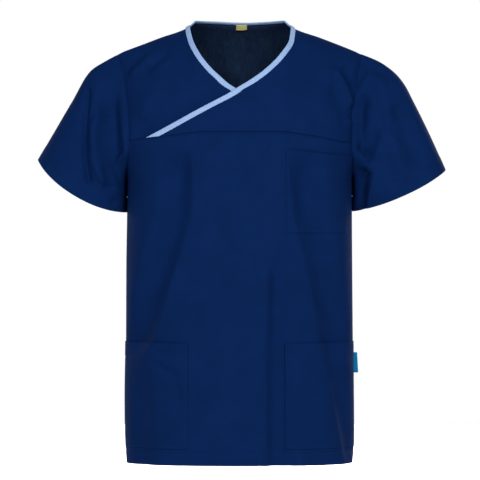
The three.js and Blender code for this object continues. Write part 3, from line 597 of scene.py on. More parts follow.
class Sheet:
    """A grid of cloth: places on the smooth form, draped places, normals, and real distances across it.

    Rows run up or along the piece, and columns run across or round it.
    """

    def __init__(self, base: np.ndarray, normals: np.ndarray, folded: bool = True) -> None:
        """Drapes the grid.

        Args:
            base: Places on the smooth form, rows by columns by three.
            normals: The form's normals there.
            folded: Whether the folds and creases apply.
        """
        self.base = base
        self.normals = normals
        self.points = DRAPE.shift(base, normals) if folded else base.copy()

    @property
    def shape(self) -> tuple[int, int]:
        """Rows and columns."""
        return self.points.shape[:2]

    def lift(self, height: np.ndarray | float) -> None:
        """Moves the cloth out along its normals by a height in millimetres."""
        self.points = self.points + self.normals * np.broadcast_to(height, self.shape)[..., None]

    def tuck_under(self, length: float, drop: float) -> None:
        """Adds a row before the first one that runs on under the neighbouring piece.

        Args:
            length: How far it runs on, in millimetres.
            drop: How deep it lies there.
        """
        way = unit(self.points[:1] - self.points[1:2])
        tucked = self.points[:1] + way * length - self.normals[:1] * drop
        self.points = np.concatenate([tucked, self.points])
        self.normals = np.concatenate([self.normals[:1], self.normals])
        self.base = np.concatenate([tucked, self.base])

    def runs(self) -> tuple[np.ndarray, np.ndarray]:
        """Distances over the cloth.

        Returns:
            Millimetres across each row from its middle, and along each column from its foot.
        """
        across = np.linalg.norm(np.diff(self.points, axis=1), axis=2)
        across = np.concatenate([np.zeros((self.shape[0], 1)), np.cumsum(across, axis=1)], axis=1)
        across -= across[:, self.shape[1] // 2][:, None]
        along = np.linalg.norm(np.diff(self.points, axis=0), axis=2)
        along = np.concatenate([np.zeros((1, self.shape[1])), np.cumsum(along, axis=0)], axis=0)
        return across, along

    def size(self) -> tuple[float, float]:
        """The sheet's size along its middle row and column.

        Returns:
            The width and the length in metres.
        """
        across, along = self.runs()
        middle_row, middle_column = self.shape[0] // 2, self.shape[1] // 2
        width = across[middle_row, -1] - across[middle_row, 0]
        return float(width) * MM, float(along[-1, middle_column]) * MM

    def sample(self, rows: np.ndarray, columns: np.ndarray) -> tuple[np.ndarray, np.ndarray]:
        """Points and normals at fractional rows and columns.

        Args:
            rows: Row places.
            columns: Column places, of the same shape.

        Returns:
            The points, and the normals.
        """
        rows = np.clip(rows, 0, self.shape[0] - 1)
        columns = np.clip(columns, 0, self.shape[1] - 1)
        r0 = np.minimum(rows.astype(int), self.shape[0] - 2)
        c0 = np.minimum(columns.astype(int), self.shape[1] - 2)
        fr, fc = (rows - r0)[..., None], (columns - c0)[..., None]
        mixed = []
        for grid in (self.points, self.normals):
            low = lerp(grid[r0, c0], grid[r0, c0 + 1], fc)
            high = lerp(grid[r0 + 1, c0], grid[r0 + 1, c0 + 1], fc)
            mixed.append(lerp(low, high, fr))
        return mixed[0], unit(mixed[1])


def new_object(name: str, mesh: bpy.types.Mesh) -> bpy.types.Object:
    """Links a mesh into the scene as an object that stands at the origin.

    Args:
        name: The object's name.
        mesh: Its mesh.

    Returns:
        The object.
    """
    obj = bpy.data.objects.new(name, mesh)
    bpy.context.scene.collection.objects.link(obj)
    return obj


def cloth_mesh(name: str, sheet: Sheet, closed: bool = False) -> bpy.types.Mesh:
    """Lays a grid mesh on a sheet's draped points.

    Args:
        name: The mesh's name.
        sheet: The cloth.
        closed: Whether the last column lies on the first and is joined to it.

    Returns:
        The mesh, with a UV map in metres.
    """
    rows, columns = sheet.shape
    bm = bmesh.new()
    bmesh.ops.create_grid(bm, x_segments=columns - 1, y_segments=rows - 1, size=1.0)
    bm.verts.ensure_lookup_table()
    across, along = sheet.runs()
    uv_layer = bm.loops.layers.uv.new("cloth")
    flat = sheet.points.reshape(-1, 3) * MM
    spots = np.stack([across.ravel(), along.ravel()], axis=-1) * MM
    for vertex, place in zip(bm.verts, flat):
        vertex.co = place
    bm.verts.index_update()
    for face in bm.faces:
        face.smooth = True
        for loop in face.loops:
            loop[uv_layer].uv = spots[loop.vert.index]
    outward = sheet.normals.reshape(-1, 3)
    middle = bm.faces[:][len(bm.faces) // 2]
    middle.normal_update()
    if float(np.dot(middle.normal, outward[middle.verts[0].index])) < 0:
        bmesh.ops.reverse_faces(bm, faces=bm.faces)
    if closed:
        bmesh.ops.remove_doubles(bm, verts=bm.verts, dist=0.00001)
    mesh = bpy.data.meshes.new(name)
    bm.to_mesh(mesh)
    bm.free()
    return mesh


def add_wall(obj: bpy.types.Object, thickness: float) -> None:
    """Gives cloth its thickness, half on each side, as a live modifier.

    Args:
        obj: The cloth.
        thickness: Its thickness in millimetres.
    """
    wall = obj.modifiers.new("Wall", "SOLIDIFY")
    wall.thickness = thickness * MM
    wall.offset = 0.0
    wall.use_even_offset = False


UNDERLAP_DEPTH = 5.4
UNDERLAP_START = 40.0
UNDERLAP_END = 14.0
UNDERLAP_ARMHOLE_FADE = 26.0
FREE_PLACE = 0.5


def underlap(points: np.ndarray) -> np.ndarray:
    """How deep the hidden front lies under the lapped one.

    Args:
        points: Points of the hidden front.

    Returns:
        The depth at each point, in millimetres.
    """
    x, z = points[..., 0], points[..., 2]
    slope = (NECK.read("left", z + 2) - NECK.read("left", z - 2)) / 4
    inside = (x - NECK.read("left", z)) / np.hypot(1, slope)
    lapped = smooth((inside + UNDERLAP_START) / (UNDERLAP_START - UNDERLAP_END))
    return UNDERLAP_DEPTH * lapped * smooth((x + ARMHOLE.read("right", z)) / UNDERLAP_ARMHOLE_FADE)


def graded(count: int, ends: tuple[float, ...]) -> np.ndarray:
    """Even shares from 0 to 1 with extra lines close to both ends.

    Args:
        count: Even steps.
        ends: Shares of the extra lines, counted from an end.

    Returns:
        The shares in order.
    """
    shares = set(np.linspace(0, 1, count + 1).round(6))
    for end in ends:
        shares |= {round(end, 6), round(1 - end, 6)}
    return np.array(sorted(shares))


def turned_edge(distance: np.ndarray, reach: float, drop: float) -> np.ndarray:
    """How far cloth turns down as it comes to an edge.

    Args:
        distance: Distances from the edge in millimetres.
        reach: Where the turn starts.
        drop: How deep it is at the edge.

    Returns:
        The height at each distance, which is negative.
    """
    return -drop * np.clip(1 - np.abs(distance) / reach, 0, 1) ** 2


def groove(distance: np.ndarray, at: float, depth: float, width: float) -> np.ndarray:
    """The small valley that a line of stitches draws into cloth.

    Args:
        distance: Distances from an edge.
        at: How far from the edge the stitches run.
        depth: The valley's depth.
        width: Its half width.

    Returns:
        The height at each distance, which is negative.
    """
    return -depth * np.exp(-((distance - at) / width) ** 2)


class BodyPanels:
    """Builds the sheets of the lower front, the back and the two upper fronts."""

    EDGE_LINES = (0.0025, 0.0055, 0.0095)
    DIAGONAL_SHARE = 4 / 14
    TURNING = 9.0
    FINE = 400

    def seam_height(self, place: np.ndarray) -> np.ndarray:
        """The chest seam's grid height.

        Args:
            place: Grid places across.

        Returns:
            The heights.
        """
        x = BODY_FORM.from_grid(Face.FRONT, place, np.full(np.shape(place), 0.1))[..., 0]
        return BODY_FORM.height_of(Face.FRONT, x, CHEST_SEAM.read("z", x))

    def neck_height(self, place: np.ndarray) -> np.ndarray:
        """The grid height of the back's upper edge: the neck's curve, and the shoulders beside it.

        Args:
            place: Grid places across.

        Returns:
            The heights.
        """
        x = BODY_FORM.from_grid(Face.BACK, place, np.full(np.shape(place), 0.1))[..., 0]
        neck = BODY_FORM.height_of(Face.BACK, x, BACK_NECK.read("z", np.abs(x)))
        return np.where(np.abs(x) >= BACK_NECK_X - 0.5, 1.0, neck)

    def armhole_runs(self, side: Side, face: Face, lower: int, upper: int) -> np.ndarray:
        """An armhole's seam with even steps up to the chest seam and even ones above it.

        Args:
            side: The wearer's side.
            face: Front or back.
            lower: Steps below the chest seam.
            upper: Steps above it.

        Returns:
            The seam's points from the armpit up.
        """
        fine = BODY_FORM.armhole(side, face, 800)
        seam_z = CHEST_SEAM.read("z", fine[:, 0])
        split = int(np.argmax(fine[:, 2] >= seam_z))
        low = even_points(fine[:split + 1], lower)
        if upper == 0:
            return low
        return np.concatenate([low, even_points(fine[split:], upper)[1:]])

    def panel(self, face: Face, places: np.ndarray, lower: int, upper: int) -> Sheet:
        """One whole panel from the hem up, between its side seams and armholes.

        Args:
            face: Front or back.
            places: Places across, from -1 to 1.
            lower: Armhole steps below the chest seam.
            upper: Armhole steps above it.

        Returns:
            The sheet.
        """
        side_z = HEM_Z + (ARMPIT_Z - HEM_Z) * graded(118, (0.0022, 0.005, 0.01, 0.0385, 0.0465))[:-1]
        borders = {}
        for side in Side:
            seam = self.armhole_runs(side, face, lower, upper)
            place = np.abs(BODY_FORM.place_of(seam[:, 0], seam[:, 2]))
            place[0] = 1.0
            height = BODY_FORM.height_of(face, seam[:, 0], seam[:, 2])
            if upper:
                height[-1] = 1.0
            below = (side_z - CHEST_Z) / HEIGHT_UNIT
            borders[side] = (np.concatenate([np.ones(len(side_z)), place]), np.concatenate([below, height]))
        share = (places + 1) / 2
        right, left = borders[Side.RIGHT], borders[Side.LEFT]
        edge = np.where(places[None, :] < 0, right[0][:, None], left[0][:, None])
        beyond = np.clip((np.abs(places) - FREE_PLACE) / (1 - FREE_PLACE), 0, 1)
        closed = np.sign(places) * np.where(np.abs(places) <= FREE_PLACE, np.abs(places),
                                            lerp(FREE_PLACE, edge, beyond))
        heights = lerp(right[1][:, None], left[1][:, None], share)
        wanted = self.neck_height(closed[-1]) if upper else self.seam_height(closed[-1])
        power = 4 if upper else 2
        rise = np.linspace(0, 1, len(heights))[:, None] ** power
        heights = heights + (wanted - heights[-1]) * rise
        base = BODY_FORM.from_grid(face, closed, heights)
        return Sheet(base, BODY_FORM.normals(face, base))

    def lower_front(self) -> Sheet:
        """The lower front, which turns in under the upper fronts at the chest seam.

        Returns:
            The sheet.
        """
        places = 2 * graded(134, self.EDGE_LINES) - 1
        sheet = self.panel(Face.FRONT, places, LOWER_STEPS, 0)
        across, along = sheet.runs()
        side = np.minimum(across - across[:, :1], across[:, -1:] - across)
        from_top = along[-1:] - along
        height = turned_edge(side, 2.0, 0.25) + turned_edge(from_top, 3.0, 0.5)
        height += groove(along, BODY_HEM, 0.45, 1.3) + turned_edge(along, 1.6, 0.5)
        sheet.lift(height + HEM_THICKNESS * (along < BODY_HEM))
        return sheet

    def back(self) -> Sheet:
        """The back, from the hem to the neck and the shoulder seams.

        Returns:
            The sheet.
        """
        neck = float(BODY_FORM.place_of(np.array(BACK_NECK_X), np.array(CHEST_Z + 1)))
        places = 2 * graded(134, self.EDGE_LINES) - 1
        places = np.unique(np.round(np.concatenate([places, [-neck, neck]]), 6))
        sheet = self.panel(Face.BACK, places, LOWER_STEPS, UPPER_STEPS)
        across, along = sheet.runs()
        side = np.minimum(across - across[:, :1], across[:, -1:] - across)
        from_top = along[-1:] - along
        shoulder = np.abs(sheet.base[-1:, :, 0]) > BACK_NECK_X
        height = turned_edge(side, 2.0, 0.25) + turned_edge(from_top, 2.4, 0.3) * shoulder
        height += groove(along, BODY_HEM, 0.45, 1.3) + turned_edge(along, 1.6, 0.5)
        sheet.lift(height + HEM_THICKNESS * (along < BODY_HEM))
        return sheet

    def upper_front(self, side: Side) -> Sheet:
        """One upper front: rows from the chest seam to the shoulder, columns from the bound edge out.

        Args:
            side: The wearer's side. The left one laps over the right.

        Returns:
            The sheet.
        """
        rows = graded(56, (0.006, 0.013, 0.022, 0.035))
        columns = graded(70, (0.004, 0.009, 0.016, 0.024))
        corner_x = NECK_CORNER_X[side]
        corner_z = float(BODY_FORM.ridge(corner_x))
        z = lerp(LAP_CROSSING_Z, corner_z, np.linspace(0, 1, 500))
        curve = BODY_FORM.points(Face.FRONT, side.value * NECK.read(side.word, z), z)
        curve[-1] = (side.value * corner_x, 0.0, corner_z)
        curve = even_points(curve, self.FINE)
        steps = np.arange(self.FINE + 1)
        diagonal_z = lerp(LAP_FOOT_Z, LAP_CROSSING_Z, np.clip(rows / self.DIAGONAL_SHARE, 0, 1))
        diagonal = BODY_FORM.points(Face.FRONT, side.value * NECK.read(side.word, diagonal_z), diagonal_z)
        on_curve = np.clip((rows - self.DIAGONAL_SHARE) / (1 - self.DIAGONAL_SHARE), 0, 1) * self.FINE
        upper = np.stack([np.interp(on_curve, steps, curve[:, k]) for k in range(3)], axis=-1)
        edge = np.where((rows < self.DIAGONAL_SHARE)[:, None], diagonal, upper)
        fine = self.armhole_runs(side, Face.FRONT, LOWER_STEPS, self.FINE)[LOWER_STEPS:]
        seam = np.stack([np.interp(rows * self.FINE, steps, fine[:, k]) for k in range(3)], axis=-1)
        x = lerp(edge[0, 0], seam[0, 0], columns)
        foot_z = CHEST_SEAM.read("z", x)
        u, v = columns[None, :], rows[:, None]
        grids = []
        for measure in (lambda px, pz: BODY_FORM.place_of(px, pz),
                        lambda px, pz: BODY_FORM.height_of(Face.FRONT, px, pz)):
            foot = measure(x, foot_z)
            left, right = measure(edge[:, 0], edge[:, 2]), measure(seam[:, 0], seam[:, 2])
            left[0], right[0] = foot[0], foot[-1]
            if grids:
                left[-1] = right[-1] = 1.0
            ruled = (1 - v) * foot[None, :] + v * lerp(left[-1], right[-1], u)
            across = lerp(left[:, None], right[:, None], u)
            corners = lerp(lerp(left[0], right[0], u), lerp(left[-1], right[-1], u), v)
            grids.append(ruled + across - corners)
        base = BODY_FORM.from_grid(Face.FRONT, grids[0], grids[1])
        sheet = Sheet(base, BODY_FORM.normals(Face.FRONT, base))
        if side is Side.RIGHT:
            sheet.lift(-underlap(sheet.points))
        across, along = sheet.runs()
        from_armhole = across[:, -1:] - across
        from_top = along[-1:] - along
        height = turned_edge(from_armhole, 2.0, 0.25) + turned_edge(from_top, 2.4, 0.3)
        height += 0.4 * smooth(1 - along / self.TURNING) + turned_edge(along, 1.2, 0.3)
        height += groove(along, SEAM_STITCH, 0.25, 0.9)
        sheet.lift(height)
        return sheet


def sleeve_rings(side: Side, t: np.ndarray, angles: np.ndarray) -> np.ndarray:
    """Points of a sleeve's rings: angle 0 is the top, and it goes round by the front.

    Args:
        side: The wearer's side.
        t: Places along the sleeve, from 0 at the armhole to 1 at the cuff.
        angles: Angles round it, which go with t by numpy's rules.

    Returns:
        The points.
    """
    table = SLEEVES[side]
    t, angles = np.broadcast_arrays(t, angles)
    top = np.stack([table.read("topX", t), table.read("topZ", t)], axis=-1)
    low = np.stack([table.read("lowX", t), table.read("lowZ", t)], axis=-1)
    half, middle = (top - low) / 2, (top + low) / 2
    cosine, sine = np.cos(angles), np.sin(angles)
    along = np.sign(cosine) * np.abs(cosine) ** (2 / SLEEVE_POWER)
    aside = np.sign(sine) * np.abs(sine) ** (2 / SLEEVE_POWER)
    depth = np.where(aside > 0, table.read("front", t), table.read("back", t))
    sag = np.where(aside > 0, CUFF_SAG[side], CUFF_SAG[Face.BACK]) * t * t * aside * aside
    down = unit(np.stack([half[..., 1], -half[..., 0]], axis=-1))
    place = middle + half * along[..., None] + down * sag[..., None]
    return np.stack([side.value * place[..., 0], -depth * aside, place[..., 1]], axis=-1)


def sleeve_sheet(side: Side) -> Sheet:
    """A sleeve: rows from the armhole to the cuff, and columns round it that end where they start.

    Args:
        side: The wearer's side.

    Returns:
        The sheet.
    """
    panels = BodyPanels()
    front, back = (panels.armhole_runs(side, face, LOWER_STEPS, UPPER_STEPS) for face in Face)
    loop = np.concatenate([front[::-1], back[1:]])
    faces = np.concatenate([np.full(len(front), -1), np.full(len(back) - 1, 1)])
    table = SLEEVES[side].columns
    middle_z = (table["topZ"][0] + table["lowZ"][0]) / 2
    half_z = (table["topZ"][0] - table["lowZ"][0]) / 2
    along = np.clip((loop[:, 2] - middle_z) / half_z, -1, 1)
    angles = np.arccos(np.sign(along) * np.abs(along) ** (SLEEVE_POWER / 2))
    angles = np.where(loop[:, 1] > 0, 2 * math.pi - angles, angles)
    angles[-1] = 2 * math.pi
    rest = loop - sleeve_rings(side, np.zeros(len(loop)), angles)
    t = graded(60, (0.005, 0.011, 0.02))[:, None]
    base = sleeve_rings(side, t, angles[None, :]) + rest[None, :, :] * ((1 - t) ** 2)[..., None]
    base[:, -1] = base[:, 0]
    centre = base.mean(axis=1, keepdims=True)
    normals = closed_normals(base, base - centre)
    sheet = Sheet(base, normals)
    seam_normals = np.where((faces < 0)[:, None], BODY_FORM.normals(Face.FRONT, loop),
                            BODY_FORM.normals(Face.BACK, loop))
    seam = DRAPE.shift(loop, seam_normals)
    seam[-1] = seam[0]
    _, run = sheet.runs()
    share = smooth(run / SEAM_BLEND)[..., None]
    sheet.points = lerp((seam - loop)[None, :, :] + base, sheet.points, share)
    sheet.normals = unit(lerp(seam_normals[None, :, :], sheet.normals, smooth(run / NORMAL_BLEND)[..., None]))
    from_cuff = run[-1:] - run
    height = turned_edge(run, 2.0, 0.25) + turned_edge(from_cuff, 1.6, 0.5)
    height += groove(from_cuff, CUFF_HEM, 0.5, 1.3) + CUFF_THICKNESS * (from_cuff < CUFF_HEM)
    sheet.lift(height)
    sheet.tuck_under(1.5, 0.7)
    return sheet


def closed_normals(points: np.ndarray, outward: np.ndarray) -> np.ndarray:
    """Normals of a grid whose last column lies on its first.

    Args:
        points: The grid.
        outward: One rough direction for each point.

    Returns:
        The normals.
    """
    wrapped = np.concatenate([points[:, -2:-1], points, points[:, 1:2]], axis=1)
    across = (wrapped[:, 2:] - wrapped[:, :-2]) / 2
    normals = unit(np.cross(np.gradient(points, axis=0), across))
    turn = np.sign((normals * outward).sum(axis=-1, keepdims=True))
    return normals * np.where(turn == 0, 1, turn)


@dataclass(frozen=True)
class PocketShape:
    """A patch pocket: its corners seen from the front, the gape of its mouth, and its hem.

    Its outer edge is caught in the side seam on the side that seam_side gives: -1 is the wearer's right,
    1 the left, and 0 none.
    """

    name: str
    left: float
    right: float
    foot: float
    top_left: float
    top_right: float
    gape: float
    hem: float
    seam_side: int = 0
    slump: tuple[Crease, ...] = ()

    def sheet(self) -> Sheet:
        """Lays the pocket on the lower front's form and lifts it clear of the cloth under it.

        Returns:
            The sheet.
        """
        columns = graded(46, (0.008, 0.018, 0.03))
        rows = graded(48, (0.006, 0.014, 0.022))[:, None]
        z = lerp(self.foot, lerp(self.top_left, self.top_right, columns), rows)
        if self.seam_side:
            inner = float(BODY_FORM.place_of(np.array(self.right if self.seam_side < 0 else self.left),
                                             np.array(self.foot)))
            place = lerp(-1.0, inner, columns) if self.seam_side < 0 else lerp(inner, 1.0, columns)
            height = (z - CHEST_Z) / HEIGHT_UNIT
            base = BODY_FORM.from_grid(Face.FRONT, np.broadcast_to(place, z.shape), height)
        else:
            base = BODY_FORM.points(Face.FRONT, lerp(self.left, self.right, columns)[None, :], z)
        sheet = Sheet(base, BODY_FORM.normals(Face.FRONT, base))
        across, along = sheet.runs()
        left, right = across - across[:, :1], across[:, -1:] - across
        from_top = along[-1:] - along
        share = columns[None, :]
        height = 1.0 + self.gape * np.sin(math.pi * share) ** 1.3 * (along / along[-1:]) ** 3
        for distance in (left, right, along):
            height = height + turned_edge(distance, 1.8, 0.4) + groove(distance, POCKET_STITCH, 0.22, 0.9)
        height = height + groove(from_top, self.hem, 0.45, 1.2) + 0.3 * (from_top < self.hem)
        height = height - sum(crease.press(base[..., 0], base[..., 2]) for crease in self.slump)
        sheet.lift(np.maximum(height, 0.35))
        return sheet


POCKETS = (
    PocketShape("hip_pocket_right", -192, -86, -700, -524, -525, 3.4, 25, -1, (
        Crease(((-150, -532), (-128, -540), (-104, -534)), 2.0, 5),
        Crease(((-146, -550), (-118, -558), (-92, -548)), -2.0, 6),
    )),
    PocketShape("hip_pocket_left", 75.5, 190, -700, -525, -524, 1.6, 25, 1),
    PocketShape("chest_pocket", 76, 177, -343, -205.5, -214.5, 1.8, 25),
)
# The tape's section from its inner edge round the panel's edge to its outer one: each point's share of
# the width, or its distance beyond the edge in millimetres where negative, and its height off the panel
BINDING_PROFILE = (
    (1.0, -0.55), (0.93, -0.95), (0.7, -1.0), (0.4, -1.02), (0.16, -1.0), (0.06, -0.95), (-0.25, -0.7),
    (-0.65, -0.25), (-0.65, 0.25), (-0.25, 0.8), (0.06, 1.05), (0.2, 1.15), (0.45, 1.18), (0.68, 1.1),
    (0.78, 0.94), (0.84, 0.84), (0.9, 0.94), (0.96, 0.88), (1.0, 0.5),
)


def thicken(line: np.ndarray, times: int = 3) -> np.ndarray:
    """Adds even points between those of a line, or of each column of a grid.

    Args:
        line: The points, along the first axis.
        times: How many points there are for each one before.

    Returns:
        The denser line.
    """
    at = np.linspace(0, len(line) - 1, times * len(line))
    low = np.minimum(at.astype(int), len(line) - 2)
    share = (at - low).reshape((-1,) + (1,) * (line.ndim - 1))
    return lerp(line[low], line[low + 1], share)


def edge_of_column(panel: Sheet) -> tuple[np.ndarray, np.ndarray, np.ndarray]:
    """The bound first column of a panel.

    Args:
        panel: The panel.

    Returns:
        The edge's points, its normals, and the way into the panel for each millimetre of tape.
    """
    points, normals = thicken(panel.points), unit(thicken(panel.normals))
    edge = points[:, 0]
    way = unit(np.gradient(edge, axis=0))
    reach = points - edge[:, None]
    square = reach - way[:, None] * (reach * way[:, None]).sum(axis=-1, keepdims=True)
    distance = np.linalg.norm(square, axis=-1)
    inward = np.empty_like(edge)
    near = 14
    for k, row in enumerate(points):
        far = [np.interp(BINDING_WIDTH, distance[k, :near], row[:near, axis]) for axis in range(3)]
        inward[k] = (np.array(far) - edge[k]) / BINDING_WIDTH
    return edge, normals[:, 0], inward


def edge_of_neck(panel: Sheet) -> tuple[np.ndarray, np.ndarray, np.ndarray]:
    """The back's bound neck, with its ends cut along the shoulder seams.

    Args:
        panel: The back.

    Returns:
        What edge_of_column returns.
    """
    calm_steps, seam_columns, end_length = 13, 4, 9.0
    at = np.nonzero(np.abs(panel.base[-1, :, 0]) <= BACK_NECK_X + 0.3)[0]
    edge, normals = thicken(panel.points[-1, at]), unit(thicken(panel.normals[-1, at]))
    way = unit(np.gradient(edge, axis=0))
    padded = np.pad(way, ((calm_steps // 2, calm_steps // 2), (0, 0)), mode="edge")
    mean = np.ones(calm_steps) / calm_steps
    calm = np.stack([np.convolve(padded[:, k], mean, "valid") for k in range(3)], axis=-1)
    inward = unit(np.cross(normals, calm))
    middle = at[len(at) // 2]
    below = panel.points[-4, middle] - panel.points[-1, middle]
    if float(np.dot(inward[len(inward) // 2], below)) < 0:
        inward = -inward
    run = np.concatenate([[0.0], np.cumsum(np.linalg.norm(np.diff(edge, axis=0), axis=1))])
    for corner, out, away in ((at[0], -seam_columns, run), (at[-1], seam_columns, run[-1] - run)):
        seam = unit(panel.points[-1, corner + out] - panel.points[-1, corner])
        share = smooth(1 - away / end_length)[:, None]
        inward = unit(lerp(inward, seam, share))
    return edge, normals, inward


def binding_sheet(edge: np.ndarray, normals: np.ndarray, inward: np.ndarray, inside: float) -> Sheet:
    """The folded tape round a bound edge.

    Args:
        edge: The edge's points.
        normals: The panel's normals there.
        inward: The way into the panel for each millimetre of the tape's width.
        inside: The tape's width on the panel's inner face.

    Returns:
        The tape, with rows along the edge and columns across it from the inside to the outside.
    """
    columns = []
    tips = []
    for share, height in BINDING_PROFILE:
        depth = share if share < 0 else share * (inside if height < 0 else BINDING_WIDTH)
        columns.append(edge + inward * depth + normals * height)
        lean = max(0.0, 1 - abs(height) / 0.9) if share < 0.1 else 0.0
        tips.append(unit(normals * (1 if height > 0 else -1) * (1 - lean) - inward * lean))
    return Sheet(np.stack(columns, axis=1), np.stack(tips, axis=1), folded=False)


def line_across(sheet: Sheet, measure: np.ndarray, distance: float, trim: float = 0.0) -> tuple:
    """A line over a sheet from its first column to its last, at one distance along every column.

    Args:
        sheet: The cloth.
        measure: Distances that grow with the rows.
        distance: Which one to follow.
        trim: Share of the columns to leave out at each end.

    Returns:
        The line's points and normals.
    """
    count = sheet.shape[1]
    columns = np.linspace(trim * (count - 1), (1 - trim) * (count - 1), 3 * count)
    rows_at = [np.interp(distance, measure[:, c], np.arange(sheet.shape[0])) for c in range(count)]
    return sheet.sample(np.interp(columns, np.arange(count), rows_at), columns)


def line_along(sheet: Sheet, measure: np.ndarray, distance: float, trim: float = 0.0) -> tuple:
    """A line over a sheet from its first row to its last, at one distance along every row.

    Args:
        sheet: The cloth.
        measure: Distances that grow with the columns.
        distance: Which one to follow.
        trim: Share of the rows to leave out at each end.

    Returns:
        The line's points and normals.
    """
    count = sheet.shape[0]
    rows = np.linspace(trim * (count - 1), (1 - trim) * (count - 1), 3 * count)
    columns_at = [np.interp(distance, measure[r], np.arange(sheet.shape[1])) for r in range(count)]
    return sheet.sample(rows, np.interp(rows, np.arange(count), columns_at))


class Stitching:
    """Collects the machine stitches of every seam into one mesh."""

    PITCH = 2.9
    LENGTH = 2.3
    THICKNESS = 0.34

    def __init__(self) -> None:
        """Starts with no stitches."""
        self.total = bmesh.new()
        self.count = 0

    def add(self, line: tuple[np.ndarray, np.ndarray], lift: float) -> None:
        """Sews along a line.

        Args:
            line: Points in millimetres, and the cloth's normals there.
            lift: How far the thread's middle stands off the line, in millimetres.
        """
        points, normals = line
        runs = np.concatenate([[0.0], np.cumsum(np.linalg.norm(np.diff(points, axis=0), axis=1))])
        count = int(runs[-1] // self.PITCH)
        at = (np.arange(count) + 0.5) * runs[-1] / count
        centre = np.stack([np.interp(at, runs, points[:, k]) for k in range(3)], axis=-1)
        ahead = np.stack([np.interp(at + 1, runs, points[:, k]) for k in range(3)], axis=-1)
        behind = np.stack([np.interp(at - 1, runs, points[:, k]) for k in range(3)], axis=-1)
        up = unit(np.stack([np.interp(at, runs, normals[:, k]) for k in range(3)], axis=-1))
        way = unit(ahead - behind)
        side = unit(np.cross(up, way))
        up = np.cross(way, side)
        part = bmesh.new()
        for k in range(count):
            matrix = Matrix.Identity(4)
            spot = centre[k] + up[k] * lift
            axes = ((side[k], self.THICKNESS), (up[k], self.THICKNESS), (way[k], self.LENGTH))
            for axis, (vector, size) in enumerate(axes):
                for row in range(3):
                    matrix[row][axis] = vector[row] * (size / 2) * MM
            for row in range(3):
                matrix[row][3] = spot[row] * MM
            bmesh.ops.create_uvsphere(part, u_segments=6, v_segments=4, radius=1.0, matrix=matrix)
        mesh = bpy.data.meshes.new("stitch_line")
        part.to_mesh(mesh)
        part.free()
        self.total.from_mesh(mesh)
        bpy.data.meshes.remove(mesh)
        self.count += count

    def finish(self) -> bpy.types.Object:
        """Makes the object that holds every stitch.

        Returns:
            The object.
        """
        mesh = bpy.data.meshes.new("stitching")
        for face in self.total.faces:
            face.smooth = True
        self.total.to_mesh(mesh)
        self.total.free()
        log.info("%d stitches", self.count)
        return new_object("stitching", mesh)


def linear(hex_code: str) -> tuple[float, float, float, float]:
    """Turns an sRGB colour into the linear one that shaders work in.

    Args:
        hex_code: A hash sign and six hex digits.

    Returns:
        The colour with an alpha of 1.
    """
    channels = [int(hex_code[k:k + 2], 16) / 255 for k in (1, 3, 5)]
    turned = [c / 12.92 if c <= 0.04045 else ((c + 0.055) / 1.055) ** 2.4 for c in channels]
    return (*turned, 1.0)


def add_node(tree: bpy.types.NodeTree, kind: str, settings: dict | None = None,
             **inputs: object) -> bpy.types.Node:
    """Adds a shader node.

    Args:
        tree: The node tree.
        kind: The node's type name.
        settings: Properties of the node itself.
        **inputs: Values or sockets for its inputs, by name with underscores for spaces, or by in_ and a
            number.

    Returns:
        The node.
    """
    node = tree.nodes.new(kind)
    for name, value in (settings or {}).items():
        setattr(node, name, value)
    for name, value in inputs.items():
        key = int(name[3:]) if name.startswith("in_") else name.replace("_", " ")
        socket = node.inputs[key]
        if isinstance(value, bpy.types.NodeSocket):
            tree.links.new(value, socket)
        else:
            socket.default_value = value
    return node


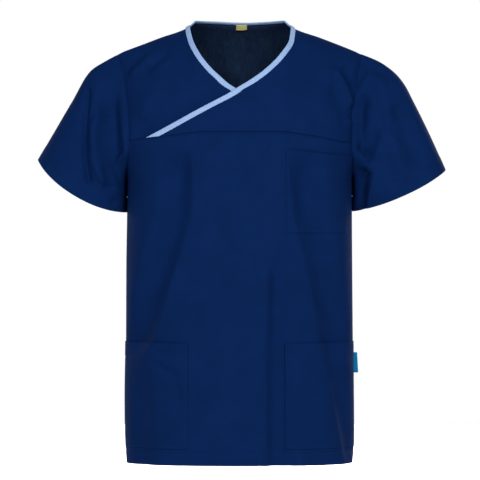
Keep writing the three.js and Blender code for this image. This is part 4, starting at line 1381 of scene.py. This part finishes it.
@dataclass(frozen=True)
class ClothFinish:
    """A woven cloth: its colours as sRGB hex codes, and its thread's pitch in real millimetres."""

    name: str
    colour: str
    shade: str
    pitch: float
    roughness: float = 0.82
    sheen: float = 0.25
    relief: float = 0.25
    waviness: float = 0.5
    streaks: float = 0.0

    def material(self) -> bpy.types.Material:
        """Builds the shader.

        Returns:
            The material.
        """
        material = bpy.data.materials.new(self.name)
        material.use_nodes = True
        tree = material.node_tree
        tree.nodes.clear()
        weave = self.weave(tree)
        spot = add_node(tree, "ShaderNodeTexCoord").outputs["Object"]
        # Uneven dye and wear over about 40 mm, and yarn slubs of about 2 mm
        cloudy = add_node(tree, "ShaderNodeTexNoise", Vector=spot, Scale=24.0, Detail=3.0, Roughness=0.6)
        slubs = add_node(tree, "ShaderNodeTexNoise", Vector=spot, Scale=480.0, Detail=2.0, Roughness=0.6)
        mixed = add_node(tree, "ShaderNodeMath", {"operation": "MULTIPLY_ADD"},
                         in_0=slubs.outputs["Fac"], in_1=0.35, in_2=cloudy.outputs["Fac"])
        # Painted shade between the threads: where the weave lies lower, the colour turns towards the darker
        # one
        tone = add_node(tree, "ShaderNodeMath", {"operation": "MULTIPLY_ADD"},
                        in_0=weave, in_1=0.3, in_2=mixed.outputs[0])
        # Uneven yarns that run down the cloth, about 3 mm wide
        stretched = add_node(tree, "ShaderNodeMapping", Vector=spot, Scale=(1.0, 0.4, 0.1))
        yarns = add_node(tree, "ShaderNodeTexNoise", Vector=stretched.outputs[0], Scale=330.0, Detail=3.0)
        tone = add_node(tree, "ShaderNodeMath", {"operation": "MULTIPLY_ADD"},
                        in_0=yarns.outputs["Fac"], in_1=self.streaks, in_2=tone.outputs[0])
        low, high = 0.45 + self.streaks * 0.35, 1.15 + self.streaks * 0.65
        span = add_node(tree, "ShaderNodeMapRange", Value=tone.outputs[0], From_Min=low, From_Max=high)
        colour = add_node(tree, "ShaderNodeMix", {"data_type": "RGBA"}, in_0=span.outputs[0],
                          in_6=linear(self.shade), in_7=linear(self.colour))
        soft = add_node(tree, "ShaderNodeTexNoise", Vector=spot, Scale=70.0, Detail=4.0, Roughness=0.55)
        wavy = add_node(tree, "ShaderNodeBump", Strength=self.waviness, Distance=0.0012,
                        Height=soft.outputs["Fac"])
        relief = add_node(tree, "ShaderNodeBump", Strength=self.relief, Distance=0.0001, Height=weave,
                          Normal=wavy.outputs["Normal"])
        shader = add_node(tree, "ShaderNodeBsdfPrincipled", Base_Color=colour.outputs[2],
                          Roughness=self.roughness, Sheen_Weight=self.sheen, Sheen_Roughness=0.4,
                          Normal=relief.outputs["Normal"])
        shader.inputs["Sheen Tint"].default_value = linear("#4668B4")
        shader.inputs["Specular IOR Level"].default_value = 0.015
        output = add_node(tree, "ShaderNodeOutputMaterial")
        tree.links.new(shader.outputs["BSDF"], output.inputs["Surface"])
        return material

    def weave(self, tree: bpy.types.NodeTree) -> bpy.types.NodeSocket:
        """A plain weave, in which each thread runs over one and under the next.

        Args:
            tree: The material's node tree.

        Returns:
            The socket that gives the weave's height, from 0 to 1.
        """
        uv = add_node(tree, "ShaderNodeUVMap", {"uv_map": "cloth"}).outputs["UV"]
        scaled = add_node(tree, "ShaderNodeVectorMath", {"operation": "SCALE"}, Vector=uv)
        scaled.inputs["Scale"].default_value = 1 / (self.pitch * MM)
        split = add_node(tree, "ShaderNodeSeparateXYZ", Vector=scaled.outputs["Vector"])
        heights = []
        for own, other in (("X", "Y"), ("Y", "X")):
            number = add_node(tree, "ShaderNodeMath", {"operation": "FLOOR"}, in_0=split.outputs[own])
            phase = add_node(tree, "ShaderNodeMath", {"operation": "ADD"},
                             in_0=number.outputs[0], in_1=split.outputs[other])
            turned = add_node(tree, "ShaderNodeMath", {"operation": "MULTIPLY_ADD"}, in_0=phase.outputs[0],
                              in_1=math.pi, in_2=0.0 if own == "X" else math.pi)
            swing = add_node(tree, "ShaderNodeMath", {"operation": "COSINE"}, in_0=turned.outputs[0])
            rise = add_node(tree, "ShaderNodeMath", {"operation": "MULTIPLY_ADD"},
                            in_0=swing.outputs[0], in_1=0.3, in_2=0.7)
            round_turn = add_node(tree, "ShaderNodeMath", {"operation": "MULTIPLY"},
                                  in_0=split.outputs[own], in_1=math.pi)
            wave = add_node(tree, "ShaderNodeMath", {"operation": "SINE"}, in_0=round_turn.outputs[0])
            arch = add_node(tree, "ShaderNodeMath", {"operation": "ABSOLUTE"}, in_0=wave.outputs[0])
            height = add_node(tree, "ShaderNodeMath", {"operation": "MULTIPLY"},
                              in_0=arch.outputs[0], in_1=rise.outputs[0])
            heights.append(height.outputs[0])
        higher = add_node(tree, "ShaderNodeMath", {"operation": "MAXIMUM"}, in_0=heights[0], in_1=heights[1])
        return higher.outputs[0]


# The cloth's real pitch is about 0.3 mm: it is drawn at 0.5 mm, so that a close view can show it
NAVY = ClothFinish("navy_polycotton", "#051B43", "#041739", 0.5, sheen=0.01)
INSIDE = ClothFinish("navy_polycotton_inside", "#19293F", "#081226", 0.5, sheen=0.01, streaks=1.2)
TAPE = ClothFinish("light_blue_tape", "#8098BC", "#7189AE", 0.5, sheen=0.02, relief=0.3, waviness=0.2)
PALE_LABEL = ClothFinish("blank_pale_label", "#B8B274", "#ABA468", 0.4, sheen=0.1, relief=0.4, waviness=0.1)
BLUE_LABEL = ClothFinish("blank_blue_label", "#0A6C9E", "#085C8A", 0.4, sheen=0.1, relief=0.4, waviness=0.1)
THREAD = ClothFinish("navy_thread", "#132D5C", "#0D2248", 0.3, sheen=0.05, relief=0.0, waviness=0.0)
FINISHES = (NAVY, INSIDE, TAPE, PALE_LABEL, BLUE_LABEL, THREAD)


def neck_label_sheet() -> Sheet:
    """The blank label that hangs inside the back, from the lower edge of the binding.

    Returns:
        The sheet.
    """
    left, right, top, foot = -6.7, 12.0, 11.4, 3.0
    middle, tilt = 2.6, 0.05
    columns = np.linspace(left, right, 14)
    rows = np.linspace(top, foot, 8)[:, None]
    slope = tilt * (columns - middle)
    base = BODY_FORM.points(Face.BACK, columns[None, :], rows + slope)
    outward = BODY_FORM.normals(Face.BACK, base)
    sheet = Sheet(DRAPE.shift(base, outward), -outward, folded=False)
    down = np.linspace(0, 1, 8)[:, None]
    sheet.lift(1.3 + 0.9 * down + 0.5 * down * np.cos((columns - middle) / 4.0)[None, :])
    return sheet


def side_label_sheet() -> Sheet:
    """The blank folded tab in the left side seam: rows down it, and columns out along it and back.

    Returns:
        The sheet.
    """
    top, foot, reach = -543.0, -577.0, 8.2
    down = np.linspace(0, 1, 22)[:, None]
    out = np.concatenate([np.linspace(0, 1, 9), np.linspace(1, 0, 9)])[None, :]
    side = np.concatenate([np.full(9, -1.0), np.full(9, 1.0)])[None, :]
    z = lerp(top, foot, down)
    wall = BODY.read("left", z)
    bend = 0.7 * out ** 2 * np.sin(down * 2.6 + 0.3)
    x = wall - 0.6 + out * (reach + 1.4 * down)
    y = 0.62 + side * 0.34 * (1 - out ** 8) + bend
    points = np.stack(np.broadcast_arrays(x, y, z), axis=-1)
    outward = np.stack(np.broadcast_arrays(out ** 8, side, 0 * z), axis=-1)
    return Sheet(points, unit(outward), folded=False)


@dataclass
class Piece:
    """One dressed piece: the node that it stands for, its sheet, and how it is cut.

    The cut is its flat width and length in metres, and its area where that isn't a rectangle.
    """

    node: str
    sheet: Sheet
    finish: ClothFinish
    slot: str
    wall: float
    cut: tuple[float, float]
    area: float | None = None
    closed: bool = False
    thread: list = field(default_factory=list)

    def build(self, materials: dict[str, bpy.types.Material]) -> bpy.types.Object:
        """Makes the object, with its wall and material.

        Args:
            materials: The scene's materials by name.

        Returns:
            The object.
        """
        obj = new_object(f"{self.node}_cloth", cloth_mesh(self.node, self.sheet, self.closed))
        add_wall(obj, self.wall)
        obj.data.materials.append(materials[self.finish.name])
        if self.finish is NAVY:
            obj.data.materials.append(materials[INSIDE.name])
            obj.modifiers["Wall"].material_offset = 1
        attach(obj, "root")
        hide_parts(self.node)
        return obj


def reversed_measure(measure: np.ndarray) -> np.ndarray:
    """Distances from the far end of each column, as a measure that still grows along the rows."""
    return measure - measure[-1:]


def build_pieces() -> list[Piece]:
    """Lays out every piece of the top, with the seams to be sewn on each.

    Returns:
        The pieces.
    """
    mouth_turning = 0.03
    panels = BodyPanels()
    pieces = []
    lower = panels.lower_front()
    back = panels.back()
    _, along = lower.runs()
    pieces.append(Piece("front_lower", lower, NAVY, "cloth", CLOTH_WALL, (0.57, 0.585), 0.315,
                        thread=[(line_across(lower, along, BODY_HEM - 1), STITCH_LIFT)]))
    _, along = back.runs()
    pieces.append(Piece("back", back, NAVY, "cloth", CLOTH_WALL, (0.58, 0.8), 0.41,
                        thread=[(line_across(back, along, BODY_HEM - 1), STITCH_LIFT)]))
    for side in Side:
        front = panels.upper_front(side)
        _, along = front.runs()
        seam = line_across(front, along, SEAM_STITCH, 0.004)
        pieces.append(Piece(f"yoke_{side.word}", front, NAVY, "cloth", CLOTH_WALL, (0.35, 0.27), 0.055,
                            thread=[(seam, STITCH_LIFT)]))
        tape = binding_sheet(*edge_of_column(front), BINDING_WIDTH)
        pieces.append(Piece(f"neck_binding_{side.word}", tape, TAPE, "binding", TAPE_WALL, (0.022, 0.3)))
        sleeve = sleeve_sheet(side)
        _, along = sleeve.runs()
        cuff = line_across(sleeve, reversed_measure(along), 0.4 - CUFF_HEM)
        pieces.append(Piece(f"sleeve_{side.word}", sleeve, NAVY, "cloth", CLOTH_WALL, (0.52, 0.25), 0.075,
                            closed=True, thread=[(cuff, STITCH_LIFT)]))
    tape = binding_sheet(*edge_of_neck(back), BACK_BINDING_INSIDE)
    pieces.append(Piece("neck_binding_back", tape, TAPE, "binding", TAPE_WALL, (0.022, 0.2)))
    for shape in POCKETS:
        sheet = shape.sheet()
        across, along = sheet.runs()
        width, length = sheet.size()
        lines = [line_across(sheet, along, POCKET_STITCH, 0.02),
                 line_across(sheet, reversed_measure(along), 0.4 - shape.hem, 0.01),
                 line_along(sheet, across - across[:, :1], POCKET_STITCH, 0.01),
                 line_along(sheet, across - across[:, -1:], -POCKET_STITCH, 0.01)]
        pieces.append(Piece(shape.name, sheet, NAVY, "cloth", POCKET_WALL, (width, length + mouth_turning),
                            thread=[(line, POCKET_STITCH_LIFT) for line in lines]))
    pieces.append(Piece("neck_label", neck_label_sheet(), PALE_LABEL, "neck_label", LABEL_WALL,
                        (0.0187, 0.01)))
    pieces.append(Piece("side_label", side_label_sheet(), BLUE_LABEL, "side_label", LABEL_WALL,
                        (0.019, 0.034)))
    return pieces


# The camera, in millimetres of lens and metres of place, and the floor's height
LENS = 290.2
CAMERA_DISTANCE = 6.5
CAMERA_HEIGHT = -0.3545
FLOOR_Z = -0.95


def set_camera() -> None:
    """Stands the camera where the photo was taken from: far off, level with the middle of the top."""
    camera = bpy.data.cameras.new("camera")
    camera.sensor_width = 36.0
    camera.lens = LENS
    camera.clip_end = 30.0
    obj = bpy.data.objects.new("camera", camera)
    obj.location = (0.0, -CAMERA_DISTANCE, CAMERA_HEIGHT)
    obj.rotation_euler = (math.radians(90), 0.0, 0.0)
    bpy.context.scene.collection.objects.link(obj)
    bpy.context.scene.camera = obj


def add_lamp(name: str, place: tuple[float, float, float], power: float, size: float,
             target: tuple[float, float, float] = (0.0, 0.0, -0.36)) -> None:
    """Adds a soft square lamp.

    Args:
        name: The lamp's name.
        place: Where it stands, in metres.
        power: Its power in watts.
        size: Its side in metres.
        target: What it looks at, which is the middle of the top if not given.
    """
    lamp = bpy.data.lights.new(name, "AREA")
    lamp.energy = power
    lamp.size = size
    obj = bpy.data.objects.new(name, lamp)
    obj.location = place
    aim = Vector(target) - Vector(place)
    obj.rotation_euler = aim.to_track_quat("-Z", "Y").to_euler()
    bpy.context.scene.collection.objects.link(obj)


def set_light() -> None:
    """Lights the top as in a photo studio: a white wall behind it, and large soft lamps in front."""
    world = bpy.data.worlds.new("studio")
    world.use_nodes = True
    tree = world.node_tree
    tree.nodes.clear()
    way = add_node(tree, "ShaderNodeTexCoord").outputs["Generated"]
    split = add_node(tree, "ShaderNodeSeparateXYZ", Vector=way)
    white = add_node(tree, "ShaderNodeMapRange", {"interpolation_type": "SMOOTHSTEP"},
                     Value=split.outputs["Y"], From_Min=0.7, From_Max=0.97, To_Min=0.38, To_Max=1.0)
    light = add_node(tree, "ShaderNodeBackground", Color=(1.0, 1.0, 1.0, 1.0), Strength=white.outputs[0])
    output = add_node(tree, "ShaderNodeOutputWorld")
    tree.links.new(light.outputs[0], output.inputs["Surface"])
    bpy.context.scene.world = world
    add_lamp("key", (1.9, -3.9, 2.2), 168.0, 0.9)
    add_lamp("fill", (-1.9, -4.0, 1.5), 126.0, 1.0)
    add_lamp("backdrop", (0.0, 4.6, 1.4), 260.0, 3.0, (0.0, 4.2, FLOOR_Z))
    add_lamp("rear_left", (2.4, 3.4, 1.2), 110.0, 1.2)
    add_lamp("rear_right", (-2.8, 3.0, 0.4), 40.0, 1.4)
    bpy.context.scene.view_settings.view_transform = "Standard"


def add_floor() -> None:
    """Lays a plain pale floor well below the hem, which isn't part of the top."""
    bm = bmesh.new()
    bmesh.ops.create_grid(bm, x_segments=2, y_segments=2, size=6.0)
    mesh = bpy.data.meshes.new("floor")
    bm.to_mesh(mesh)
    bm.free()
    obj = new_object("floor", mesh)
    obj.location.z = FLOOR_Z
    material = bpy.data.materials.new("floor")
    material.use_nodes = True
    tree = material.node_tree
    tree.nodes.clear()
    shader = add_node(tree, "ShaderNodeBsdfPrincipled", Base_Color=linear("#F4F4F4"), Roughness=0.9)
    output = add_node(tree, "ShaderNodeOutputMaterial")
    tree.links.new(shader.outputs["BSDF"], output.inputs["Surface"])
    mesh.materials.append(material)


def main() -> None:
    """Builds the dressed top, its light and its camera."""
    logging.basicConfig(level=logging.INFO)
    materials = {finish.name: finish.material() for finish in FINISHES}
    stitching = Stitching()
    for piece in build_pieces():
        obj = piece.build(materials)
        log.info("%s: %d vertices, %s", obj.name, len(obj.data.vertices), piece.sheet.size())
        for line, lift in piece.thread:
            stitching.add(line, lift)
    seams = stitching.finish()
    seams.data.materials.append(materials[THREAD.name])
    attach(seams, "root")
    set_camera()
    set_light()
    add_floor()


if __name__ == "__main__":
    main()
